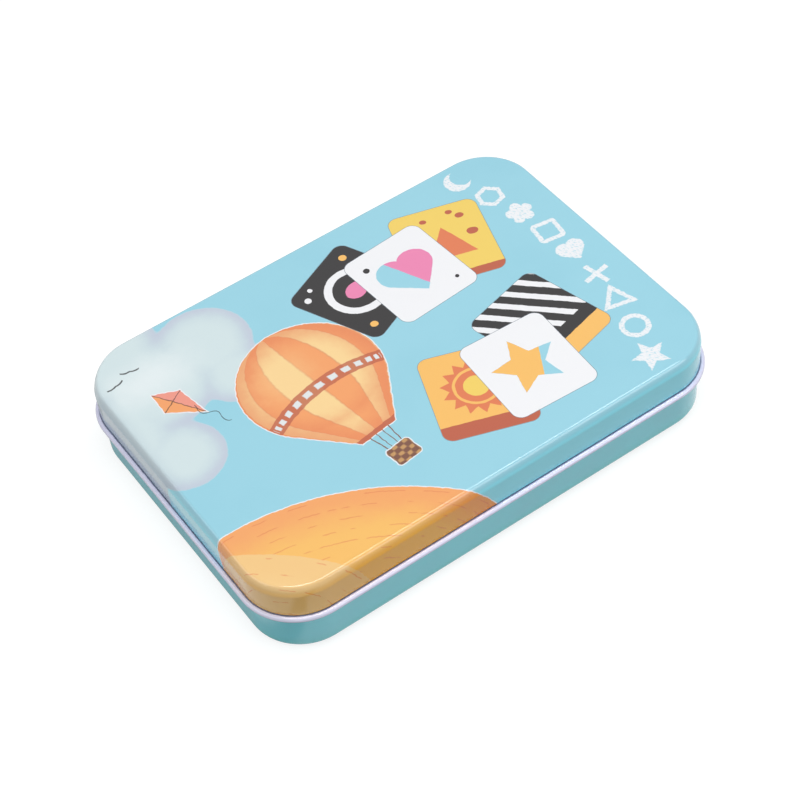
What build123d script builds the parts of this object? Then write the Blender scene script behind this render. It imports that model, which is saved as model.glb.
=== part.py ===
from build123d import *
import math
import os

# Tinplate card game box: a drawn base pan with a rolled bead and a neck, a drawn lid whose
# rear skirt wraps the bead as two hinge knuckles, and the cards that the tin holds.
# Millimetres. X runs along the length, Y to the hinge at the back, Z up from the table.
# Sheet sections are drawn in (u, z): u is measured outwards from the face of the lid's wall.

# ---------------------------------------------------------------- driving dimensions
SHEET = 0.25            # tinplate
LID_LENGTH = 137.5      # over the lid's wall
LID_WIDTH = 98.1
LID_CORNER_R = 15.2     # in plan
TIN_HEIGHT = 24.35      # table to lid top

# base pan
WALL_INSET = 0.45       # base wall, inside the face of the lid's wall
BOTTOM_R = 2.2          # outside, wall to floor
PANEL_INSET = 6.0       # foot of the raised floor panel
PANEL_RISE = 0.6        # height that keeps the panel off the table
PANEL_RUN = 0.8         # slope of the step up to it
RING_WIDTH = 9.0        # swept border, as far as the flat middle plate
BEAD_R = 0.85           # outside radius of the bead's nose
BEAD_REACH = 1.2        # nose beyond the face of the lid's wall
BEAD_Z = 13.27          # middle of the bead
NECK_RISE = 3.1         # neck above the bead
NECK_HEM = 1.3          # safe edge folded back inside the neck

# lid
LID_SEAT = 0.05         # hem above the bead when shut
NECK_FIT = 0.2          # hem to neck, all round
FOLD = 0.45             # middle line to middle line of a folded hem
HEM_HEIGHT = 1.5
CREASE_INSET = 1.26     # where the flat top ends, on the sheet's middle line
CREASE_R = 0.6
BREAK_INSET = 0.6       # where the shoulder steepens
BREAK_DROP = 0.92
SHOULDER_DROP = 2.75    # foot of the shoulder below the top
SHOULDER_R = 3.0

# hinge
KNUCKLES = 2
KNUCKLE_SPACING = 76.0
KNUCKLE_WIDTH = 12.0
KNUCKLE_FIT = 0.05      # knuckle to bead, on the radius
KNUCKLE_WRAP = 270.0    # degrees round the bead
SLOT_SIDE = 0.3         # slot beyond the knuckle, each side
SLOT_FIT = 0.15         # slot beyond the knuckle's outside
RELIEF = 0.5            # cut beside each knuckle in the lid's skirt
KNUCKLE_ROOT = 0.3      # overlap of knuckle and skirt
KNUCKLE_BEND_R = 0.25   # where the tongue turns outwards, on its middle line
FLANK_LEFT = 0.2        # flat of the bead kept inside its middle at a slot

# contents
CARD_LENGTH = 90.0      # along Y
CARD_WIDTH = 64.0       # along X
CARD_CORNER_R = 6.5
CARD_THICKNESS = 1.5
CARDS_PER_STACK = 10
CARD_GAP = 0.03         # between cards, and under the lowest
STACK_GAP = 1.5         # between the two stacks

# die-cut windows
DISC_R = 15.0
TRIANGLE_R = 20.0       # middle to corner
STAR_POINTS = 5
STAR_TIP_R = 18.0
STAR_WAIST_R = 11.0
SQUARE_SIDE = 27.0
HEART_SIDE = 20.0       # square that carries the two lobes
HEXAGON_R = 16.5        # middle to corner
CROSS_SPAN = 30.0
CROSS_BAR = 13.5
PETALS = 6
PETAL_RING_R = 9.0      # middle of the flower to middle of a petal
PETAL_R = 6.8
ARCH_WIDTH = 24.0
ARCH_WALL = 15.0        # upright sides, below the round head
OVAL_LENGTH = 36.0
OVAL_WIDTH = 25.5

# leaflet
LEAFLET_LENGTH = 112.0
LEAFLET_WIDTH = 78.0
PAPER = 0.12
LEAFLET_FOLD = 0.4      # middle line to middle line of the two leaves

# ---------------------------------------------------------------- derived sizes
HALF = SHEET / 2
BEAD_U = BEAD_REACH - BEAD_R
BEAD_MID_R = BEAD_R - HALF
BEAD_TOP = BEAD_Z + BEAD_R
SKIRT_BOTTOM = BEAD_TOP + LID_SEAT
HEM_DEPTH = FOLD + SHEET
NECK_U = -(HEM_DEPTH + NECK_FIT + HALF)
NECK_TOP = BEAD_TOP + NECK_RISE
FLOOR_TOP = PANEL_RISE + SHEET
KNUCKLE_MID_R = BEAD_R + KNUCKLE_FIT + HALF
KNUCKLE_OUT_R = KNUCKLE_MID_R + HALF
HEM_TOP = SKIRT_BOTTOM + HEM_HEIGHT
CARD_PITCH = CARD_THICKNESS + CARD_GAP
STACK_X = (CARD_WIDTH + STACK_GAP) / 2
STACK_TOP = FLOOR_TOP + CARDS_PER_STACK * CARD_PITCH


# ---------------------------------------------------------------- sheet-metal helpers
def drawn_shell(middle_line, plate_z):
    """Sheet bent to a middle line in (u, z) round a rim with four rounded corners.

    Each side of the rim is extruded and each corner revolved. A flat plate with its
    underside at plate_z closes the middle, where the section ends.
    """
    half_x = LID_LENGTH / 2 - LID_CORNER_R
    half_y = LID_WIDTH / 2 - LID_CORNER_R
    corners = [(half_x, -half_y), (half_x, half_y), (-half_x, half_y), (-half_x, -half_y)]
    at_corner = Plane(origin=(0, -LID_CORNER_R, 0), x_dir=(0, -1, 0), z_dir=(-1, 0, 0))
    section = at_corner * trace(middle_line, SHEET)
    bend = revolve(section, Axis.Z, 90)
    plate_size = (LID_LENGTH - 2 * RING_WIDTH, LID_WIDTH - 2 * RING_WIDTH)
    outline = RectangleRounded(*plate_size, LID_CORNER_R - RING_WIDTH)
    plate = Pos(0, 0, plate_z) * extrude(outline, SHEET)
    border = []
    for i, (x, y) in enumerate(corners):
        side = Pos(x, y, 0) * Rot(0, 0, 90 * i)
        run = 2 * (half_x if i % 2 == 0 else half_y)
        border += [side * extrude(section, run), side * bend]
    return plate.fuse(*border)


def hinge_stations():
    """X of the middle of each knuckle."""
    return [KNUCKLE_SPACING * (i - (KNUCKLES - 1) / 2) for i in range(KNUCKLES)]


def rear_block(x, width, u_range, z_range):
    """Cutter across the rear wall, centred on x, given in (u, z)."""
    (u_in, u_out), (z_low, z_high) = u_range, z_range
    centre = (x, LID_WIDTH / 2 + (u_in + u_out) / 2, (z_low + z_high) / 2)
    return Pos(*centre) * Box(width, u_out - u_in, z_high - z_low)


# ---------------------------------------------------------------- base pan
def base_line():
    """Floor panel, step, wall, bead nose, neck and its folded edge, in one sheet."""
    wall_u = -WALL_INSET - HALF
    foot_u = -PANEL_INSET
    low, high = BEAD_Z - BEAD_MID_R, BEAD_Z + BEAD_MID_R
    panel = Polyline(
        (-RING_WIDTH, PANEL_RISE + HALF),
        (foot_u - PANEL_RUN, PANEL_RISE + HALF),
        (foot_u, HALF),
    )
    wall = FilletPolyline(
        (foot_u, HALF),
        (wall_u, HALF),
        (wall_u, low),
        radius=BOTTOM_R - HALF,
    )
    flank = Line((wall_u, low), (BEAD_U, low))
    nose = ThreePointArc((BEAD_U, low), (BEAD_U + BEAD_MID_R, BEAD_Z), (BEAD_U, high))
    neck = Polyline(
        (BEAD_U, high),
        (NECK_U, high),
        (NECK_U, NECK_TOP - HALF),
        (NECK_U - FOLD, NECK_TOP - HALF),
        (NECK_U - FOLD, NECK_TOP - NECK_HEM),
    )
    return Curve() + [panel, wall, flank, nose, neck]


def hinge_slot(x):
    """Opening through wall, bead flanks and neck foot that a knuckle turns in."""
    reach = KNUCKLE_OUT_R + SLOT_FIT
    inner_face = NECK_U - FOLD - SHEET
    return rear_block(
        x,
        KNUCKLE_WIDTH + 2 * SLOT_SIDE,
        (inner_face, BEAD_U - FLANK_LEFT),
        (BEAD_Z - reach, BEAD_Z + reach),
    )


def base_pan():
    pan = drawn_shell(base_line(), PANEL_RISE)
    return pan.cut(*[hinge_slot(x) for x in hinge_stations()])


# ---------------------------------------------------------------- lid
def lid_line():
    """Flat top, crease, shoulder in two easy slopes, skirt and the hem folded inside."""
    top = TIN_HEIGHT - HALF
    bottom = SKIRT_BOTTOM + HALF
    shoulder = FilletPolyline(
        (-RING_WIDTH, top),
        (-CREASE_INSET, top),
        (-BREAK_INSET, top - BREAK_DROP),
        (-HALF, TIN_HEIGHT - SHOULDER_DROP),
        (-HALF, bottom),
        radius=[CREASE_R, SHOULDER_R, SHOULDER_R],
    )
    hem = Polyline((-HALF, bottom), (-HALF - FOLD, bottom), (-HALF - FOLD, HEM_TOP))
    return Curve() + [shoulder, hem]


def knuckle(x):
    """Tongue of the rear skirt, set outwards and rolled round the bead."""
    ring_top = BEAD_Z + KNUCKLE_MID_R
    root = FilletPolyline(
        (-HALF, HEM_TOP + RELIEF + KNUCKLE_ROOT),
        (-HALF, ring_top),
        (BEAD_U, ring_top),
        radius=KNUCKLE_BEND_R,
    )
    roll = CenterArc((BEAD_U, BEAD_Z), KNUCKLE_MID_R, 90, -KNUCKLE_WRAP)
    edge = (x - KNUCKLE_WIDTH / 2, LID_WIDTH / 2, 0)
    at_rear = Plane(origin=edge, x_dir=(0, 1, 0), z_dir=(1, 0, 0))
    return extrude(at_rear * trace(Curve() + [root, roll], SHEET), KNUCKLE_WIDTH)


def knuckle_notch(x):
    """Cut that frees a knuckle from the hem and the foot of the skirt beside it."""
    return rear_block(
        x,
        KNUCKLE_WIDTH + 2 * RELIEF,
        (-HEM_DEPTH - HALF, HALF),
        (SKIRT_BOTTOM - SHEET, HEM_TOP + RELIEF),
    )


def lid():
    shell = drawn_shell(lid_line(), TIN_HEIGHT - SHEET)
    notched = shell.cut(*[knuckle_notch(x) for x in hinge_stations()])
    return notched.fuse(*[knuckle(x) for x in hinge_stations()])


# ---------------------------------------------------------------- contents
def star_outline():
    """Star with one point up, tips and waist by turns."""
    corners = []
    for i in range(2 * STAR_POINTS):
        r = STAR_WAIST_R if i % 2 else STAR_TIP_R
        angle = math.radians(90 + i * 180 / STAR_POINTS)
        corners.append((r * math.cos(angle), r * math.sin(angle)))
    return make_face(Polyline(*corners, close=True))


def heart_outline():
    """Square on its corner with a half round on each upper side."""
    square = Rot(0, 0, 45) * Rectangle(HEART_SIDE, HEART_SIDE)
    shift = HEART_SIDE / 2 * math.cos(math.radians(45))
    lobes = [Pos(side * shift, shift) * Circle(HEART_SIDE / 2) for side in (-1, 1)]
    return Sketch() + [square, *lobes]


def cross_outline():
    """Two equal bars, square to each other."""
    return Sketch() + [Rectangle(CROSS_SPAN, CROSS_BAR), Rectangle(CROSS_BAR, CROSS_SPAN)]


def flower_outline():
    """Round petals that meet over the middle."""
    petals = PolarLocations(PETAL_RING_R, PETALS) * Circle(PETAL_R)
    return Sketch() + [Circle(PETAL_RING_R), *petals]


def arch_outline():
    """Upright block with a round head."""
    head_r = ARCH_WIDTH / 2
    wall_middle = -head_r / 2
    head_middle = wall_middle + ARCH_WALL / 2
    block = Pos(0, wall_middle) * Rectangle(ARCH_WIDTH, ARCH_WALL)
    return Sketch() + [block, Pos(0, head_middle) * Circle(head_r)]


def window_outlines():
    """Die-cut shapes, one for each window card, from the bottom of the stack up."""
    return [
        Circle(DISC_R),
        RegularPolygon(TRIANGLE_R, 3),
        star_outline(),
        Rectangle(SQUARE_SIDE, SQUARE_SIDE),
        heart_outline(),
        RegularPolygon(HEXAGON_R, 6),
        cross_outline(),
        flower_outline(),
        arch_outline(),
        Ellipse(OVAL_LENGTH / 2, OVAL_WIDTH / 2),
    ]


def card_blank():
    return RectangleRounded(CARD_WIDTH, CARD_LENGTH, CARD_CORNER_R)


def card_z(index):
    """Underside of a card, counted from the bottom of its stack."""
    return FLOOR_TOP + CARD_GAP + index * CARD_PITCH


def picture_card(index):
    return Pos(-STACK_X, 0, card_z(index)) * extrude(card_blank(), CARD_THICKNESS)


def window_card(index):
    outlines = window_outlines()
    blank = card_blank() - outlines[index % len(outlines)]
    return Pos(STACK_X, 0, card_z(index)) * extrude(blank, CARD_THICKNESS)


def rules_leaflet():
    """Sheet folded once, lying across both stacks with its fold at the back."""
    low = STACK_TOP + CARD_GAP + PAPER / 2
    front, back = -LEAFLET_WIDTH / 2, LEAFLET_WIDTH / 2
    fold = LEAFLET_FOLD / 2
    lower = Line((front, low), (back - fold, low))
    bend = ThreePointArc(
        (back - fold, low), (back, low + fold), (back - fold, low + LEAFLET_FOLD)
    )
    upper = Line((back - fold, low + LEAFLET_FOLD), (front, low + LEAFLET_FOLD))
    at_end = Plane(origin=(-LEAFLET_LENGTH / 2, 0, 0), x_dir=(0, 1, 0), z_dir=(1, 0, 0))
    return extrude(at_end * trace(Curve() + [lower, bend, upper], PAPER), LEAFLET_LENGTH)


# ---------------------------------------------------------------- write the nodes
def all_nodes():
    nodes = {"base_pan": base_pan(), "lid": lid(), "rules_leaflet": rules_leaflet()}
    for i in range(CARDS_PER_STACK):
        nodes[f"picture_card_{i + 1:02d}"] = picture_card(i)
        nodes[f"window_card_{i + 1:02d}"] = window_card(i)
    return nodes


os.makedirs("parts", exist_ok=True)
for name, solid in all_nodes().items():
    export_step(solid, f"parts/{name}.step")
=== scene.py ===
import logging
import math
from dataclasses import dataclass
from enum import Enum
from typing import Callable, Iterable, Sequence, Union

import bmesh
import bpy
from mathutils import Matrix, Vector


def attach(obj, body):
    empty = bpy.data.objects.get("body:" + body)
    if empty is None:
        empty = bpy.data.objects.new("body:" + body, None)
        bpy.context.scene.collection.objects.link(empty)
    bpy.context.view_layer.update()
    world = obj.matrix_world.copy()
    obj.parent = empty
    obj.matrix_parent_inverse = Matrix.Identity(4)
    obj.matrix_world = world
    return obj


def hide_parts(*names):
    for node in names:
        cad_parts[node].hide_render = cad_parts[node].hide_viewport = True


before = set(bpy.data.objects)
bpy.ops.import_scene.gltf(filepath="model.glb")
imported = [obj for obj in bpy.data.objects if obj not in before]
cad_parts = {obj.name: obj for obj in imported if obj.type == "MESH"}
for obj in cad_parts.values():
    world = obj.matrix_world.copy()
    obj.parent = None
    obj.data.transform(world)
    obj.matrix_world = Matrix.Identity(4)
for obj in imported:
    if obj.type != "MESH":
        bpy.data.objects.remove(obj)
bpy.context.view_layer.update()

# A drawn tinplate card game box: lacquered and printed lid, base pan with a rolled bead,
# two rolled hinge knuckles, two stacks of thick cards and a folded leaflet.
# Sizes in this file are millimetres unless a name ends in _m, which stands for metres.
# Meshes are scaled once, when a piece is finished.

log = logging.getLogger("card_tin")

MM = 0.001
OUT_OF_PLAY = 1000.0  # taken off a height, so that a distance is measured flat
FLAT_WEIGHT = 80  # how much the large faces rule the shading, in per cent

Colour = tuple[float, float, float, float]
Number = Union[float, "Field"]
Shape = Callable[["Plane2D"], "Field"]


# ------------------------------------------------------------------ colours
def ink(red: int, green: int, blue: int) -> Colour:
    """Turns a screen colour into the linear colour that shaders take.

    Args:
        red: its red, 0 to 255.
        green: its green.
        blue: its blue.

    Returns:
        The linear colour, opaque.
    """

    def linear(value: int) -> float:
        """Undoes the screen's curve for one channel."""
        share = value / 255
        return share / 12.92 if share <= 0.04045 else ((share + 0.055) / 1.055) ** 2.4

    return (linear(red), linear(green), linear(blue), 1.0)


class Palette:
    """The tin's printing inks and bare materials."""

    TEAL = ink(151, 210, 227)
    TEAL_DEEP = ink(143, 204, 222)
    # The next ink is painted light, for the lid's wall.
    TEAL_SIDE = ink(158, 230, 245)
    TEAL_WALL = ink(130, 236, 250)
    TEAL_FOOT = ink(118, 228, 234)
    # The next ink is laid partly as painted shade, along the lid's hem and on the bead beside it.
    NAVY = ink(58, 78, 118)
    RIM_WHITE = ink(226, 225, 250)
    RIM_LILAC = ink(182, 176, 222)
    CLOUD = ink(209, 226, 229)
    CLOUD_LIGHT = ink(228, 238, 240)
    CLOUD_SHADE = ink(184, 202, 216)
    # The next ink is painted shade, for the cloud where it runs down the end wall.
    CLOUD_WALL_SHADE = ink(172, 192, 205)
    LAVENDER = ink(190, 190, 214)
    OUTLINE = ink(100, 116, 130)
    CORAL = ink(238, 150, 132)
    GOLD = ink(248, 212, 148)
    GOLD_DEEP = ink(238, 186, 112)
    ORANGE = ink(243, 160, 98)
    ORANGE_DEEP = ink(226, 122, 76)
    RUST = ink(190, 92, 62)
    BROWN = ink(124, 78, 58)
    BLACK = ink(32, 30, 32)
    YELLOW = ink(242, 208, 96)
    AMBER = ink(247, 190, 98)
    PINK = ink(236, 132, 178)
    WHITE = ink(241, 242, 245)
    CARD_EDGE = ink(214, 216, 220)
    STEEL = ink(176, 178, 184)
    PAPER = ink(244, 243, 238)


# ------------------------------------------------------------------ shapes drawn in nodes
@dataclass(frozen=True, eq=False)
class Signal:
    """One output of a material's nodes."""

    socket: bpy.types.NodeSocket

    def node(self, kind: str) -> bpy.types.Node:
        """Adds a node of that kind to the same material."""
        return self.socket.id_data.nodes.new(f"ShaderNode{kind}")


def feed(node: bpy.types.Node, inputs: dict[str | int, object]) -> bpy.types.Node:
    """Fills a node's inputs.

    Args:
        node: the node.
        inputs: what goes in by name or number, a signal to link or a plain value to set.

    Returns:
        The same node.
    """
    for pin, value in inputs.items():
        if isinstance(value, Signal):
            node.id_data.links.new(value.socket, node.inputs[pin])
        else:
            node.inputs[pin].default_value = value
    return node


class Field(Signal):
    """A number that varies over a surface.

    Arithmetic on it adds Math nodes, so that a shape is written as its formula. A shape is
    the distance to its edge in mm, and is below zero inside.
    """

    def apply(self, operation: str, *values: Number, clamp: bool = False) -> "Field":
        """Adds a Math node that works on this field and up to two more values.

        Args:
            operation: the node's operation.
            values: its second and third inputs.
            clamp: whether the result is held between 0 and 1.

        Returns:
            The node's result.
        """
        node = self.node("Math")
        node.operation = operation
        node.use_clamp = clamp
        feed(node, dict(enumerate((self, *values))))
        return Field(node.outputs[0])

    def __add__(self, other: Number) -> "Field":
        """Sum."""
        return self.apply("ADD", other)

    def __sub__(self, other: Number) -> "Field":
        """Difference."""
        return self.apply("SUBTRACT", other)

    def __rsub__(self, other: float) -> "Field":
        """Difference from a plain number."""
        return -self + other

    def __mul__(self, other: Number) -> "Field":
        """Product."""
        return self.apply("MULTIPLY", other)

    def __truediv__(self, other: Number) -> "Field":
        """Quotient."""
        return self.apply("DIVIDE", other)

    def __neg__(self) -> "Field":
        """The field with its sign changed: of a shape, all that is outside."""
        return self.apply("MULTIPLY", -1.0)

    __radd__ = __add__
    __rmul__ = __mul__

    def __or__(self, other: "Field") -> "Field":
        """Union of two shapes."""
        return self.apply("MINIMUM", other)

    def __and__(self, other: "Field") -> "Field":
        """What two shapes share."""
        return self.apply("MAXIMUM", other)

    def size(self) -> "Field":
        """Absolute value."""
        return self.apply("ABSOLUTE")

    def fold(self, step: float) -> "Field":
        """The number sent up and down between 0 and step, as a repeat needs."""
        return self.apply("PINGPONG", step)

    def line(self, width: float) -> "Field":
        """A stroke of that width along the shape's edge."""
        return self.size() - width / 2

    def merge(self, other: "Field", reach: float) -> "Field":
        """Union with a soft joint of that reach."""
        return self.apply("SMOOTH_MIN", other, reach)

    def cover(self, blur: float = 0.1) -> "Field":
        """How much ink the shape lays: 1 inside, 0 outside, blurred over blur mm."""
        return self.apply("MULTIPLY_ADD", -1 / blur, 0.5, clamp=True)

    def spread(self, low: float, high: float, to_low: float = 0.0, to_high: float = 1.0) -> "Field":
        """Maps low..high smoothly onto to_low..to_high.

        Args:
            low: number that becomes to_low.
            high: number that becomes to_high.
            to_low: result up to low.
            to_high: result from high on.

        Returns:
            The mapped number.
        """
        node = self.node("MapRange")
        node.interpolation_type = "SMOOTHSTEP"
        ends = {"From Min": low, "From Max": high, "To Min": to_low, "To Max": to_high}
        return Field(feed(node, {"Value": self, **ends}).outputs["Result"])


class Plane2D(Signal):
    """Coordinates on a surface, in mm, in which flat shapes are drawn."""

    def vector(self, operation: str, *values: object) -> bpy.types.Node:
        """Adds a Vector Math node that works on the coordinates.

        Args:
            operation: the node's operation.
            values: its further inputs.

        Returns:
            The node.
        """
        node = self.node("VectorMath")
        node.operation = operation
        pins = ("Scale",) if operation == "SCALE" else (1, 2)
        return feed(node, {0: self, **dict(zip(pins, values))})

    def moved(self, operation: str, *values: object) -> "Plane2D":
        """The coordinates after a Vector Math node."""
        return Plane2D(self.vector(operation, *values).outputs["Vector"])

    def measured(self, operation: str, *values: object) -> Field:
        """The single number that a Vector Math node gives."""
        return Field(self.vector(operation, *values).outputs["Value"])

    def flattened(self) -> "Plane2D":
        """The coordinates seen from above."""
        return self.moved("MULTIPLY", (1, 1, 0))

    def placed(self, x: float, y: float, degrees: float = 0.0, scale: float = 1.0) -> "Plane2D":
        """The same plane seen from a motif's own middle, turned and scaled with it.

        Args:
            x: the motif's middle along the plane.
            y: its middle across the plane.
            degrees: its turn.
            scale: its size.

        Returns:
            The motif's own coordinates.
        """
        node = self.node("Mapping")
        node.vector_type = "TEXTURE"
        turn = (0, 0, math.radians(degrees))
        feed(node, {"Vector": self, "Location": (x, y, 0)})
        feed(node, {"Rotation": turn, "Scale": (scale, scale, 1)})
        return Plane2D(node.outputs["Vector"])

    def axes(self) -> tuple[Field, Field]:
        """The two flat coordinates by themselves."""
        node = feed(self.node("SeparateXYZ"), {0: self})
        return Field(node.outputs["X"]), Field(node.outputs["Y"])

    def height(self) -> Field:
        """The third coordinate by itself."""
        return Field(feed(self.node("SeparateXYZ"), {0: self}).outputs["Z"])

    def disc(self, radius: float, x: float = 0.0, y: float = 0.0) -> Field:
        """Disc about a point."""
        return self.measured("DISTANCE", (x, y, 0)) - radius

    def oval(self, half_x: float, half_y: float, x: float = 0.0, y: float = 0.0) -> Field:
        """Ellipse about a point; its distance is rough.

        Args:
            half_x: half its length.
            half_y: half its width.
            x: its middle along the plane.
            y: its middle across the plane.

        Returns:
            The shape.
        """
        factor, shift = (1 / half_x, 1 / half_y, 0), (-x / half_x, -y / half_y, 0)
        scaled = self.moved("MULTIPLY_ADD", factor, shift)
        small = min(half_x, half_y)
        return scaled.measured("LENGTH").apply("MULTIPLY_ADD", small, -small)

    def block(self, half_x: float, half_y: float, corner: float = 0.0) -> Field:
        """Rectangle about the origin, its corners rounded.

        Args:
            half_x: half its length.
            half_y: half its width.
            corner: radius of its corners.

        Returns:
            The shape.
        """
        straight = (half_x - corner, half_y - corner, OUT_OF_PLAY)
        past = self.moved("ABSOLUTE").moved("SUBTRACT", straight)
        outside = past.moved("MAXIMUM", (0, 0, 0)).measured("LENGTH")
        x, y = past.axes()
        return outside + (x & y).apply("MINIMUM", 0.0) - corner

    def beyond(self, degrees: float, offset: float) -> Field:
        """What lies short of a straight edge that faces along an angle, offset from the origin."""
        angle = math.radians(degrees)
        return self.measured("DOT_PRODUCT", (math.cos(angle), math.sin(angle), 0)) - offset

    def polygon(self, sides: int, reach: float, turn: float = 90.0) -> Field:
        """Regular polygon.

        Args:
            sides: number of its sides.
            reach: from its middle to a side.
            turn: which way its first side faces, in degrees.

        Returns:
            The shape.
        """
        shape = self.beyond(turn, reach)
        for i in range(1, sides):
            shape = shape & self.beyond(turn + 360 * i / sides, reach)
        return shape

    def star(self, points: int, tip: float, waist: float) -> Field:
        """Star with one point up.

        Args:
            points: number of its points.
            tip: from its middle to a point's tip.
            waist: from its middle to the notch between two points.

        Returns:
            The shape.
        """
        x, y = self.axes()
        sector = 2 * math.pi / points
        angle = x.apply("ARCTAN2", y).fold(sector / 2)
        radius = self.measured("LENGTH")
        waist_x = waist * math.cos(sector / 2)
        waist_y = waist * math.sin(sector / 2)
        run = math.hypot(tip - waist_x, waist_y)
        normal_x, normal_y = waist_y / run, (tip - waist_x) / run
        along, aside = radius * angle.apply("COSINE"), radius * angle.apply("SINE")
        return along * normal_x + aside * normal_y - tip * normal_x

    def heart(self, lobe: float) -> Field:
        """Heart, point down.

        Args:
            lobe: radius of its two lobes.

        Returns:
            The shape.
        """
        shift = lobe * math.sqrt(0.5)
        square = self.placed(0, 0, 45).block(lobe, lobe)
        return square | self.disc(lobe, -shift, shift) | self.disc(lobe, shift, shift)

    def flower(self, petals: int, ring: float, petal: float) -> Field:
        """Round petals that meet over the middle.

        Args:
            petals: number of its petals.
            ring: radius on which their middles lie.
            petal: a petal's radius.

        Returns:
            The shape.
        """
        shape = self.disc(ring)
        for i in range(petals):
            angle = 2 * math.pi * i / petals
            shape = shape | self.disc(petal, ring * math.cos(angle), ring * math.sin(angle))
        return shape

    def noise_node(self, grain: float, detail: float, roughness: float = 0.5) -> bpy.types.Node:
        """Adds a Noise node, grain being the size of its grain in mm."""
        inputs = {"Vector": self, "Scale": 1 / grain, "Detail": detail, "Roughness": roughness}
        return feed(self.node("TexNoise"), inputs)

    def noise(self, grain: float, detail: float = 2.0, roughness: float = 0.5) -> Field:
        """Noise of about 0 to 1."""
        return Field(self.noise_node(grain, detail, roughness).outputs["Fac"])

    def shaken(self, grain: float, reach: float) -> "Plane2D":
        """The plane with its points moved a little by noise, as a hand-drawn edge is.

        Args:
            grain: size of the noise's grain.
            reach: how far a point moves at most.

        Returns:
            The moved coordinates.
        """
        shift = Plane2D(self.noise_node(grain, 1.0).outputs["Color"])
        centred = shift.moved("MULTIPLY_ADD", (2 * reach, 2 * reach, 0), (-reach, -reach, 0))
        return self.moved("ADD", centred)


# ------------------------------------------------------------------ materials
@dataclass
class Layers:
    """Inks laid one over another: the topmost so far, at first the bare ground."""

    top: Colour | Signal

    def paint(self, colour: Colour, amount: Field, strength: float = 1.0) -> None:
        """Lays a colour.

        Args:
            colour: the ink.
            amount: how much of it each point takes, 0 to 1.
            strength: its share where amount is 1.
        """
        node = amount.node("Mix")
        node.data_type = "RGBA"
        node.clamp_factor = True
        if strength != 1.0:
            amount = amount * strength
        feed(node, {"Factor": amount, "A": self.top, "B": colour})
        self.top = Signal(node.outputs["Result"])

    def deepen(self, amount: Field, saturation: float, value: float) -> None:
        """Makes the inks laid so far richer and brighter where amount is 1."""
        inputs = {"Color": self.top, "Fac": amount, "Saturation": saturation, "Value": value}
        self.top = Signal(feed(amount.node("HueSaturation"), inputs).outputs["Color"])


@dataclass(frozen=True)
class Sheen:
    """How a surface shines, as numbers of the shader's own sockets."""

    roughness: float
    coat: float = 0.0
    coat_roughness: float = 0.1
    coat_ior: float = 1.5
    metallic: float = 0.0
    specular: float = 0.5

    def sockets(self) -> dict[str, float]:
        """The shader's sockets and their values.

        Returns:
            The values by the sockets' names.
        """
        return {
            "Roughness": self.roughness,
            "Coat Weight": self.coat,
            "Coat Roughness": self.coat_roughness,
            "Coat IOR": self.coat_ior,
            "Metallic": self.metallic,
            "Specular IOR Level": self.specular,
        }


class Surface:
    """A Principled material whose colour, roughness and relief are painted in its nodes."""

    def __init__(self, name: str, sheen: Sheen, ground: Colour) -> None:
        """Makes the material and the coordinates to paint in.

        Args:
            name: its name.
            sheen: how it shines.
            ground: the colour under its inks.
        """
        self.material = bpy.data.materials.new(name)
        self.material.use_nodes = True
        nodes = self.material.node_tree.nodes
        self.coated = sheen.coat > 0
        self.shader = feed(nodes["Principled BSDF"], sheen.sockets())
        self.layers = Layers(ground)
        place_m = Plane2D(nodes.new("ShaderNodeTexCoord").outputs["Object"])
        self.place = place_m.moved("SCALE", 1 / MM)
        self.height = self.place.height()
        self.flat = self.place.flattened()

    def finish(self, relief: Field, depth: float, rough: Field | None = None) -> bpy.types.Material:
        """Joins colour, relief and roughness to the shader.

        Args:
            relief: height over the surface, of about 0 to 1.
            depth: what a relief of 1 stands for, in mm.
            rough: roughness over the surface, or None where it is even.

        Returns:
            The finished material.
        """
        bump = feed(relief.node("Bump"), {"Distance": depth * MM, "Height": relief})
        normal = Signal(bump.outputs["Normal"])
        feed(self.shader, {"Base Color": self.layers.top, "Normal": normal})
        if self.coated:
            feed(self.shader, {"Coat Normal": normal})
        if rough is not None:
            feed(self.shader, {"Roughness": rough})
        return self.material


LACQUER = Sheen(roughness=0.4, coat=1.0, coat_roughness=0.05, coat_ior=1.58, specular=0.0)
INSIDE_LACQUER = Sheen(roughness=0.3, coat=0.3, coat_roughness=0.2)
BARE_EDGE = Sheen(roughness=0.35, metallic=1.0)
CARD_SATIN = Sheen(roughness=0.42, coat=0.25, coat_roughness=0.25)
PAPER_MATT = Sheen(roughness=0.75, specular=0.3)


@dataclass(frozen=True)
class TinSizes:
    """The tin's main sizes, as the CAD part has them."""

    length: float = 137.5
    width: float = 98.1
    corner_r: float = 15.2
    top: float = 24.35
    sheet: float = 0.25
    bead_u: float = 0.35
    bead_z: float = 13.27
    bead_mid_r: float = 0.725
    skirt_bottom: float = 14.17
    hem_top: float = 15.67
    plate_inset: float = 9.0
    knuckle_spacing: float = 76.0
    knuckle_width: float = 12.0

    @property
    def straight_x(self) -> float:
        """Half the straight part of a long side."""
        return self.length / 2 - self.corner_r

    @property
    def straight_y(self) -> float:
        """Half the straight part of a short side."""
        return self.width / 2 - self.corner_r

    @property
    def knuckle_middles(self) -> tuple[float, float]:
        """Where the two knuckles stand along the rear side."""
        return -self.knuckle_spacing / 2, self.knuckle_spacing / 2


TIN = TinSizes()


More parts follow.
